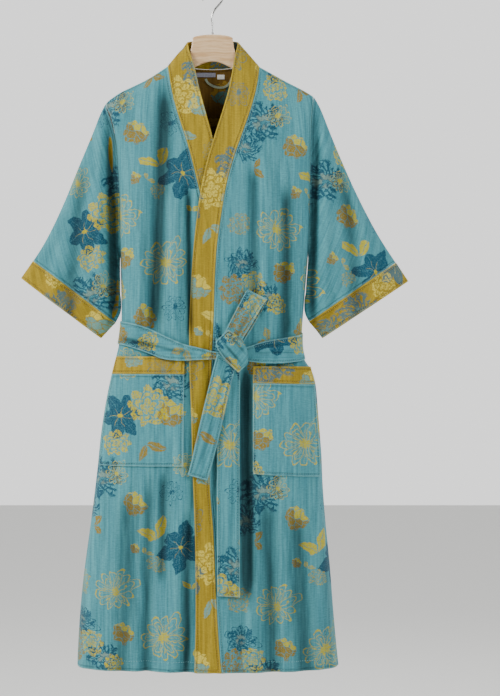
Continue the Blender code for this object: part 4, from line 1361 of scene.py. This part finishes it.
class Cloth:
    """One finished piece of cloth, refined from its CAD solid."""

    LEVELS = 3               # how often the solid is subdivided
    RIM = 1.7                # faces narrower than this many walls are a rim
    OVAL = (0.2, 0.03)       # half the body's width and depth, roughly
    ARM_DEEP = 0.012         # half a sleeve's depth, roughly
    ARM_SIDE = 4             # how much its outer side counts beside that
    CREASED = 0.0022         # a crease this deep gets the darkest painted shade
    CREASE_SHADE = 0.8               # and that much painted shade
    LEAST = 9                # a loop of fewer points is no edge
    TINY = 1e-9              # a way shorter than this has no direction

    def __init__(self, plan: Sheet, source: bpy.types.Object) -> None:
        """Takes the plan and the CAD node that it refines."""
        self.plan, self.source = plan, source
        self.loops: list[list[Place]] = []

    def outward(self, centre: Vector, normal: Vector) -> float:
        """Tells whether a face looks out of the garment.

        Args:
            centre: The face's middle.
            normal: Its normal.

        Returns:
            A number above 0 where it does.
        """
        if self.plan.sleeve:
            aside = normal.x * self.plan.sleeve * self.ARM_SIDE
            return normal.y * centre.y / self.ARM_DEEP ** 2 + aside
        wide, deep = self.OVAL
        return normal.x * centre.x / wide ** 2 + normal.y * centre.y / deep ** 2

    def coarse(self) -> bmesh.types.BMesh:
        """The CAD solid as joined quads, its faces marked 0 outside, 1 inside, 2 rim.

        Returns:
            The mesh, with its rims creased.
        """
        work = joined(self.source)
        work.normal_update()
        sharp = crisped(work, 1.0)
        for one in work.faces:
            longest = max(e.calc_length() for e in one.edges)
            width = one.calc_area() / longest
            rim = width < self.plan.stuff.wall * self.RIM and sum(e in sharp for e in one.edges) > 1
            out = self.outward(one.calc_center_median(), one.normal) > 0
            one.material_index = 2 if rim else (0 if out else 1)
        return work

    def make(self, under: "Ground") -> bpy.types.Mesh:
        """Refines the piece, hangs it and lays it on what is under it.

        Args:
            under: The pieces that it may lie on.

        Returns:
            The mesh, before its finish.
        """
        mesh = subdivided(self.coarse(), self.plan.node, self.LEVELS)
        points = np.empty(len(mesh.vertices) * 3)
        mesh.vertices.foreach_get("co", points)
        points = points.reshape(-1, 3)
        grain = self.plan.grain.chart(points)
        points, valley = DRAPE.settle(points, self.plan.sleeve)
        if self.plan.layers:
            folds = CREASES.get(self.plan.node, ())
            push = sum((f.height(points[:, 0], -points[:, 2]) for f in folds), valley * 0.0)
            push = np.where(points[:, 1] < 0, push, 0.0)
            points[:, 1] -= push
            # The creases' valleys get painted shade.
            valley = np.clip(-push / self.CREASED, 0, 1) * self.CREASE_SHADE
            points = under.lift(points, self.plan.layers, self.plan.stuff.wall, mesh)
        mesh.vertices.foreach_set("co", points.ravel())
        chart = mesh.uv_layers.get("pattern") or mesh.uv_layers.new(name="pattern")
        corner = np.empty(len(mesh.loops), int)
        mesh.loops.foreach_get("vertex_index", corner)
        chart.data.foreach_set("uv", grain[corner].ravel())
        mesh.attributes.new("valley", "FLOAT", "POINT").data.foreach_set("value", valley)
        mesh.update()
        self.trace(mesh)
        return mesh

    def trace(self, mesh: bpy.types.Mesh) -> None:
        """Keeps the outer wall's edge, and how far from it each point of the mesh is.

        Args:
            mesh: The mesh, which gets the point attribute rim.
        """
        work = bmesh.new()
        work.from_mesh(mesh)
        work.normal_update()
        links: dict[bmesh.types.BMVert, list[bmesh.types.BMVert]] = {}
        for edge in work.edges:
            marks = {f.material_index for f in edge.link_faces}
            if len(edge.link_faces) == 2 and 0 in marks and len(marks) == 2:
                a, b = edge.verts
                links.setdefault(a, []).append(b)
                links.setdefault(b, []).append(a)
        seen: set[bmesh.types.BMVert] = set()
        for start in links:
            if start in seen:
                continue
            loop, here, last = [], start, None
            while here is not None and here not in seen:
                seen.add(here)
                loop.append(here)
                here, last = next((n for n in links[here] if n is not last
                                   and n not in seen), None), here
            if len(loop) >= self.LEAST:
                self.loops.append(self.inward(loop))
        work.free()
        edge = [place for loop in self.loops for place, _, _ in loop]
        tree = KDTree(len(edge))
        for index, place in enumerate(edge):
            tree.insert(place, index)
        tree.balance()
        away = [tree.find(v.co)[2] for v in mesh.vertices]
        mesh.attributes.new("rim", "FLOAT", "POINT").data.foreach_set("value", away)

    def inward(self, loop: list[bmesh.types.BMVert]) -> list[Place]:
        """Finds the outer wall's normal and the way inwards along a loop.

        Args:
            loop: The loop's points in order.

        Returns:
            Its edge points, without doubled ones.
        """
        found = []
        for index, vert in enumerate(loop):
            before, after = loop[index - 1].co, loop[(index + 1) % len(loop)].co
            outer = [f for f in vert.link_faces if f.material_index == 0]
            normal = sum((f.normal for f in outer), Vector()).normalized()
            middle = sum((f.calc_center_median() for f in outer), Vector()) / len(outer)
            inside, along = middle - vert.co, after - before
            if along.length < self.TINY:
                continue
            along.normalize()
            inside = inside - normal * inside.dot(normal) - along * inside.dot(along)
            if inside.length > self.TINY:
                found.append((vert.co.copy(), normal, inside.normalized()))
        return found

    def finish(self, mesh: bpy.types.Mesh, finishes: Finishes) -> bpy.types.Object:
        """Dresses the mesh and puts it in the scene in place of its CAD node.

        Args:
            mesh: The finished mesh.
            finishes: The materials.

        Returns:
            The piece.
        """
        plan, marks = self.plan, np.empty(len(mesh.polygons), int)
        mesh.polygons.foreach_get("material_index", marks)
        mesh.materials.clear()
        mesh.materials.append(finishes.reverse if plan.stuff.turned else finishes.face)
        inner = plan.stuff is Stuff.GAUZE
        if inner:
            # The back panel's inner side takes the darker inside gauze, painted shade inside the
            # robe.
            mesh.materials.append(finishes.inside if plan.node == "back_panel"
                                  else finishes.reverse)
        mesh.polygons.foreach_set("material_index",
                                  (marks == 1).astype(int) if inner else marks * 0)
        return shown(plan.node + "_cloth", mesh, plan.stuff.slot, plan.node)


class Ground:
    """The finished pieces that later ones are laid on."""

    CLEAR = 0.00035          # how far apart two layers lie, in metres
    MOST = 0.004             # the furthest that a point is lifted
    START = 0.2              # how far out a ray starts
    FILL = 0.93              # share of the wall that lies between its two sides
    FOLLOW = 0.8             # share of a lift that a point's neighbours take

    def __init__(self) -> None:
        """Starts with nothing."""
        self.trees: dict[str, BVHTree] = {}

    def add(self, name: str, mesh: bpy.types.Mesh) -> None:
        """Keeps one piece's surface for later ones."""
        self.trees[name] = BVHTree.FromPolygons(
            [v.co.copy() for v in mesh.vertices], [tuple(p.vertices) for p in mesh.polygons])

    def lift(self, points: np.ndarray, names: tuple[str, ...], wall: float,
             mesh: bpy.types.Mesh) -> np.ndarray:
        """Moves a piece outwards where it would cut into what is under it.

        Args:
            points: The piece's points.
            names: What may be under it.
            wall: Its thickness.
            mesh: Its mesh, of which the faces marked 0 look outwards.

        Returns:
            The lifted points.
        """
        outer = np.zeros(len(points), bool)
        for one in mesh.polygons:
            if one.material_index == 0:
                outer[list(one.vertices)] = True
        need = np.zeros(len(points))
        for index, (x, y, z) in enumerate(points):
            side = -1.0 if y < 0 else 1.0
            for name in names:
                hit = self.trees[name].ray_cast(Vector((x, side * self.START, z)),
                                                Vector((0, -side, 0)))
                if hit[0] is None or hit[0].y * side < 0:
                    continue
                clear = hit[0].y * side + self.CLEAR
                clear += wall * self.FILL if outer[index] else 0.0
                need[index] = max(need[index], clear - y * side)
        need = np.clip(need, 0, self.MOST)
        spread = need.copy()
        ends = np.empty(len(mesh.edges) * 2, int)
        mesh.edges.foreach_get("vertices", ends)
        first, second = ends[0::2], ends[1::2]
        np.maximum.at(spread, first, need[second] * self.FOLLOW)
        np.maximum.at(spread, second, need[first] * self.FOLLOW)
        moved = points.copy()
        moved[:, 1] += np.where(points[:, 1] < 0, -1, 1) * spread
        return moved


@dataclass
class RunningStitch:
    """Sewing thread laid along lines by a Geometry Nodes tree, sizes in metres."""

    pitch: float = 0.0046
    length: float = 0.0030
    width: float = 0.00075
    seed: int = 4
    vary: tuple[float, float] = (0.85, 1.15)

    def tree(self, thread: bpy.types.Material) -> bpy.types.NodeTree:
        """Builds the tree.

        Args:
            thread: The thread's material.

        Returns:
            The tree, with its sizes as named inputs.
        """
        made = bpy.data.node_groups.new("running stitch", "GeometryNodeTree")
        face = made.interface
        for name, kind in (("Lines", "Geometry"), ("Pitch", "Float"), ("Length", "Float"),
                           ("Width", "Float"), ("Seed", "Int")):
            face.new_socket(name, in_out="INPUT", socket_type="NodeSocket" + kind)
        face.new_socket("Stitches", in_out="OUTPUT", socket_type="NodeSocketGeometry")
        add = made.nodes.new
        start, done = add("NodeGroupInput"), add("NodeGroupOutput")
        curve, spaced = add("GeometryNodeMeshToCurve"), add("GeometryNodeResampleCurve")
        lay, one = add("GeometryNodeInstanceOnPoints"), add("GeometryNodeMeshUVSphere")
        size, shape = add("ShaderNodeCombineXYZ"), add("GeometryNodeTransform")
        along, way = add("GeometryNodeInputTangent"), add("FunctionNodeAlignRotationToVector")
        whole, dress = add("GeometryNodeRealizeInstances"), add("GeometryNodeSetMaterial")
        vary = add("FunctionNodeRandomValue")
        spaced.mode, way.axis, vary.data_type = "LENGTH", "X", "FLOAT"
        for name, value in (("Radius", 0.5), ("Segments", 6), ("Rings", 4)):
            one.inputs[name].default_value = value
        dress.inputs["Material"].default_value = thread
        floats = [s for s in vary.inputs if s.type == "VALUE"]
        for socket, value in zip(floats, self.vary):
            socket.default_value = value
        for source, out, target, into in (
                (start, "Lines", curve, 0), (curve, 0, spaced, "Curve"),
                (start, "Pitch", spaced, "Length"), (start, "Length", size, "X"),
                (start, "Width", size, "Y"), (start, "Width", size, "Z"),
                (one, "Mesh", shape, "Geometry"), (size, 0, shape, "Scale"),
                (spaced, 0, lay, "Points"), (shape, 0, lay, "Instance"),
                (along, 0, way, "Vector"), (way, 0, lay, "Rotation"),
                (start, "Seed", vary, "Seed"), (lay, 0, whole, 0),
                (whole, 0, dress, "Geometry"), (dress, 0, done, 0)):
            made.links.new(source.outputs[out], target.inputs[into])
        scale = next(s for s in vary.outputs if s.type == "VALUE")
        made.links.new(scale, lay.inputs["Scale"])
        return made

    def sew(self, name: str, lines: list[list[Vector]], thread: bpy.types.Material,
            slot: str) -> bpy.types.Object:
        """Lays the thread and keeps it as one plain mesh.

        Args:
            name: The piece's name.
            lines: The rows, each a list of points.
            thread: The thread's material.
            slot: The record's material slot.

        Returns:
            The piece.
        """
        rows = bpy.data.meshes.new(name + "_rows")
        points, ends = [], []
        for line in lines:
            ends += [(len(points) + i, len(points) + i + 1) for i in range(len(line) - 1)]
            points += [tuple(p) for p in line]
        rows.from_pydata(points, ends, [])
        holder = placed(name + "_rows", rows)
        tool = holder.modifiers.new("stitch", "NODES")
        tool.node_group = tree = self.tree(thread)
        sizes = {"Pitch": self.pitch, "Length": self.length, "Width": self.width,
                 "Seed": self.seed}
        for item in tree.interface.items_tree:
            if item.in_out == "INPUT" and item.name in sizes:
                tool[item.identifier] = sizes[item.name]
        return shown(name, worked(holder), slot)


@dataclass
class ClothGroup:
    """A sub-assembly of cloth pieces that are made in order."""

    plans: tuple[Sheet, ...] = ()
    made: list[Cloth] = field(default_factory=list)

    def build(self, nodes: dict[str, bpy.types.Object], ground: Ground,
              finishes: Finishes) -> None:
        """Makes every piece of the group.

        Args:
            nodes: The CAD nodes by name.
            ground: What is already finished.
            finishes: The materials.
        """
        for plan in self.plans:
            cloth = Cloth(plan, nodes[plan.node])
            mesh = cloth.make(ground)
            ground.add(plan.node, mesh)
            piece = cloth.finish(mesh, finishes)
            list(plan.rests)
            self.made.append(cloth)
            LOG.info("%s: %d faces", piece.name, len(mesh.polygons))


LEFT_FRONT = Grain((-0.1386, 0.277))
RIGHT_FRONT = Grain((0.1507, 0.303))
LEFT_ARM = Grain((-0.2286, 0.455), (-0.0234, 0.5112), 22)
RIGHT_ARM = Grain((0.2484, 0.428), (0.0, 0.0), -22)


@dataclass
class Body(ClothGroup):
    """The back, the two fronts and the long band that edges them."""

    plans: tuple[Sheet, ...] = (
        Sheet("back_panel", Stuff.GAUZE, Grain((0.31, 0.31), (-0.02, -0.1)), (0.62, 1.12),
              0.50, ("hanger_body",), stitches=(HEM,)),
        Sheet("front_right", Stuff.GAUZE, RIGHT_FRONT, (0.31, 1.10), 0.245, ("hanger_body",),
              stitches=(HEM, FRONT_SEAM)),
        Sheet("front_left", Stuff.GAUZE, LEFT_FRONT, (0.31, 1.10), 0.25, ("hanger_body",),
              stitches=(HEM, FRONT_SEAM)),
        Sheet("neckband", Stuff.BAND,
              Grain((-0.061, 0.15), (-0.036, 0.262), under=(0.025, 0.434)), (0.046, 2.46),
              0.110, ("back_panel", "hanger_body"), stitches=GOLD_ROUND),
    )


@dataclass
class Sleeves(ClothGroup):
    """The wide short sleeves with their turned cuffs."""

    plans: tuple[Sheet, ...] = (
        Sheet("sleeve_left", Stuff.GAUZE, LEFT_ARM, (0.56, 0.17), 0.074,
              ("back_panel", "front_left"), sleeve=-1),
        Sheet("sleeve_right", Stuff.GAUZE, RIGHT_ARM, (0.56, 0.17), 0.074,
              ("back_panel", "front_right"), sleeve=1),
        Sheet("cuff_left", Stuff.TURNED, Grain((-0.27, 0.6), (-0.045, -0.04), 22),
              (0.37, 0.045), 0.0166, ("sleeve_left",), sleeve=-1, stitches=GOLD_ROUND),
        Sheet("cuff_right", Stuff.TURNED, Grain((0.27, 0.6), (-0.06, -0.05), -22),
              (0.37, 0.045), 0.0166, ("sleeve_right",), sleeve=1, stitches=GOLD_ROUND),
    )


@dataclass
class Pockets(ClothGroup):
    """The two patch pockets with their turned bands."""

    plans: tuple[Sheet, ...] = (
        Sheet("pocket_left", Stuff.GAUZE, LEFT_FRONT, (0.165, 0.166), 0.027, ("front_left",),
              layers=("front_left",), stitches=OPEN),
        Sheet("pocket_right", Stuff.GAUZE, Grain((0.1116, 0.6026)), (0.15, 0.17), 0.0225,
              ("front_right",), layers=("front_right",), stitches=OPEN),
        Sheet("pocket_band_left", Stuff.TURNED, Grain((-0.12, 0.7), (-0.05, 0.41)),
              (0.145, 0.035), 0.005, ("front_left",), layers=("front_left",),
              stitches=GOLD_ROUND),
        Sheet("pocket_band_right", Stuff.TURNED, Grain((0.13, 0.7), (-0.05, -0.03)),
              (0.12, 0.035), 0.0042, ("front_right",), layers=("front_right",),
              stitches=GOLD_ROUND),
    )


FRONTS = ("front_left", "front_right")


@dataclass
class Belt(ClothGroup):
    """The tied belt: its ring, knot, loop and two ends."""

    plans: tuple[Sheet, ...] = (
        Sheet("belt_waist", Stuff.BELT, Grain((-0.1, 0.65), (-0.03, 0.30), 90), (0.043, 0.75),
              0.032, (*FRONTS, "back_panel"), stitches=ROUND,
              layers=(*FRONTS, "back_panel", "neckband", "pocket_band_left",
                      "pocket_band_right", "pocket_left", "pocket_right")),
        Sheet("belt_tail_long", Stuff.BELT, Grain((0.03, 0.7), (0.054, 0.096)), (0.042, 0.44),
              0.0184, ("belt_knot",), stitches=ROUND,
              layers=(*FRONTS, "neckband", "belt_waist")),
        Sheet("belt_tail_short", Stuff.BELT, Grain((0.0, 0.76), (0.025, 0.50), -18),
              (0.039, 0.235), 0.009, ("belt_knot",), stitches=ROUND,
              layers=(*FRONTS, "neckband", "belt_waist", "belt_tail_long")),
        Sheet("belt_loop", Stuff.BELT, Grain((0.07, 0.6), (-0.09, 0.25), 28), (0.037, 0.225),
              0.0082, ("belt_knot",), stitches=ROUND, layers=(*FRONTS, "belt_waist")),
        Sheet("belt_knot", Stuff.BELT, Grain((0.035, 0.67), (-0.02, -0.03), -40),
              (0.042, 0.09), 0.0037, ("belt_waist",), held="gathered",
              layers=("belt_waist", "belt_tail_long", "belt_tail_short", "belt_loop")),
    )


@dataclass(frozen=True)
class Smooth:
    """A hard or small CAD node, refined without moving it."""

    node: str
    name: str
    slot: str
    levels: int = 2          # how often it is subdivided
    crease: float = 0.75     # how crisp its sharp edges stay

    def build(self, nodes: dict[str, bpy.types.Object], finish: bpy.types.Material) -> None:
        """Makes the piece in place of its node.

        Args:
            nodes: The CAD nodes by name.
            finish: Its material.
        """
        work = joined(nodes[self.node])
        crisped(work, self.crease)
        fine = subdivided(work, self.name, self.levels)
        fine.materials.clear()
        fine.materials.append(finish)
        fine.polygons.foreach_set("material_index", np.zeros(len(fine.polygons), int))
        shown(self.name, fine, self.slot, self.node)


@dataclass
class Hanger:
    """The wooden hanger with its wire hook."""

    plate: Smooth = Smooth("hanger_body", "hanger_wood_plate", "hanger_wood")
    hook: Smooth = Smooth("hanger_hook", "hanger_wire_hook", "hook_steel")

    def build(self, nodes: dict[str, bpy.types.Object], finishes: Finishes) -> None:
        """Makes the plate and the hook.

        Args:
            nodes: The CAD nodes by name.
            finishes: The materials.
        """
        self.plate.build(nodes, finishes.wood)
        self.hook.build(nodes, finishes.wire)
        LOG.info("hanger: plate and hook")


@dataclass
class Labels:
    """The tape loop and the two bare labels inside the neck."""

    loop: Smooth = Smooth("hanging_loop", "tape_loop", "tape", 3)
    neck: Smooth = Smooth("neck_label", "woven_neck_label", "tape", 3)
    size: Smooth = Smooth("size_label", "woven_size_label", "label_white", 3)

    def build(self, nodes: dict[str, bpy.types.Object], finishes: Finishes) -> None:
        """Makes the three pieces.

        Args:
            nodes: The CAD nodes by name.
            finishes: The materials.
        """
        self.loop.build(nodes, finishes.tape)
        self.neck.build(nodes, finishes.grey_label)
        self.size.build(nodes, finishes.white_label)
        LOG.info("labels and loop: 3 pieces")


@dataclass
class Studio:
    """Camera, lights and floor, sizes in metres."""

    eye: tuple[float, float, float] = (0.068, -3.24, -0.667)
    lens: float = 91.9
    floor: float = -1.75
    reach: float = 9.0           # half the floor's side
    middle: float = -0.7         # the height that the lamps look at

    def build(self, finishes: Finishes) -> None:
        """Sets up the studio.

        Args:
            finishes: The materials.
        """
        camera = bpy.data.cameras.new("camera")
        camera.sensor_width, camera.lens = 36, self.lens
        camera.clip_end = 100
        eye = placed("camera", camera)
        eye.location = self.eye
        eye.rotation_euler = (math.pi / 2, 0, 0)
        bpy.context.scene.camera = eye
        self.lamp("key", (-2.9, -1.7, 1.3), 1.3, 165, (1.0, 0.985, 0.96))
        self.lamp("fill", (2.7, -2.0, 0.9), 1.7, 78, (0.95, 0.98, 1.0))
        self.lamp("rim", (0.6, 2.4, 0.9), 1.8, 26, (1.0, 1.0, 1.0))
        world = bpy.data.worlds.new("pale room")
        bpy.context.scene.world = world
        world.use_nodes = True
        pen = Pen(world.node_tree)
        sky = pen.tree.nodes["Background"]
        sky.inputs["Color"].default_value = (0.93, 0.93, 0.925, 1)
        # The wall behind the robe is brighter than the room in front of it.
        way = pen.tree.nodes.new("ShaderNodeTexCoord").outputs["Generated"]
        _, ahead, above = pen.split(way)
        pen.feed(sky.inputs["Strength"], pen.rise(above * 0.6 + ahead, 0.1, 0.7, 0.13, 1.55))
        mesh = bpy.data.meshes.new("floor")
        corners = ((-1, -1), (1, -1), (1, 1), (-1, 1))
        mesh.from_pydata([(x * self.reach, y * self.reach, self.floor) for x, y in corners],
                         [], [(0, 1, 2, 3)])
        mesh.materials.append(finishes.floor)
        placed("floor", mesh)
        LOG.info("studio: camera, three lamps, floor")

    def lamp(self, name: str, place: tuple[float, float, float], size: float, power: float,
             colour: Colour) -> None:
        """One soft square lamp that looks at the robe's middle.

        Args:
            name: Its name.
            place: Where it stands.
            size: Its side.
            power: Its power in watts.
            colour: Its colour.
        """
        light = bpy.data.lights.new(name, "AREA")
        light.size, light.energy, light.color = size, power, colour
        lamp = placed(name, light)
        lamp.location = place
        way = Vector((0.0, 0.0, self.middle)) - Vector(place)
        lamp.rotation_euler = way.to_track_quat("-Z", "Y").to_euler()


def sew_all(groups: list[ClothGroup], finishes: Finishes) -> None:
    """Lays every row of stitches, in one piece for each thread.

    Args:
        groups: The finished sub-assemblies.
        finishes: The materials.
    """
    sewn = [(cloth, row) for group in groups for cloth in group.made
            for row in cloth.plan.stitches]
    for name, gold, thread, slot in (
            ("teal_stitches", False, finishes.teal_thread, "gauze_teal"),
            ("gold_stitches", True, finishes.gold_thread, "gauze_mustard")):
        lines = [line for cloth, row in sewn if row.gold is gold
                 for loop in cloth.loops for line in row.runs(loop)]
        piece = RunningStitch().sew(name, lines, thread, slot)
        LOG.info("%s: %d rows, %d faces", name, len(lines), len(piece.data.polygons))


def main() -> None:
    """Builds the robe, its hanger and the studio round them."""
    logging.basicConfig(level=logging.INFO, format="%(message)s")
    for name in ("Cube", "Light", "Camera"):
        if name in bpy.data.objects:
            bpy.data.objects.remove(bpy.data.objects[name])
    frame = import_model()
    nodes = frame["nodes"]
    finishes = Finishes.make()
    Studio().build(finishes)
    ground = Ground()
    groups = [Body(), Sleeves(), Pockets(), Belt()]
    for group in groups:
        group.build(nodes, ground, finishes)
    sew_all(groups, finishes)
    Labels().build(nodes, finishes)
    Hanger().build(nodes, finishes)


if __name__ == "__main__":
    main()
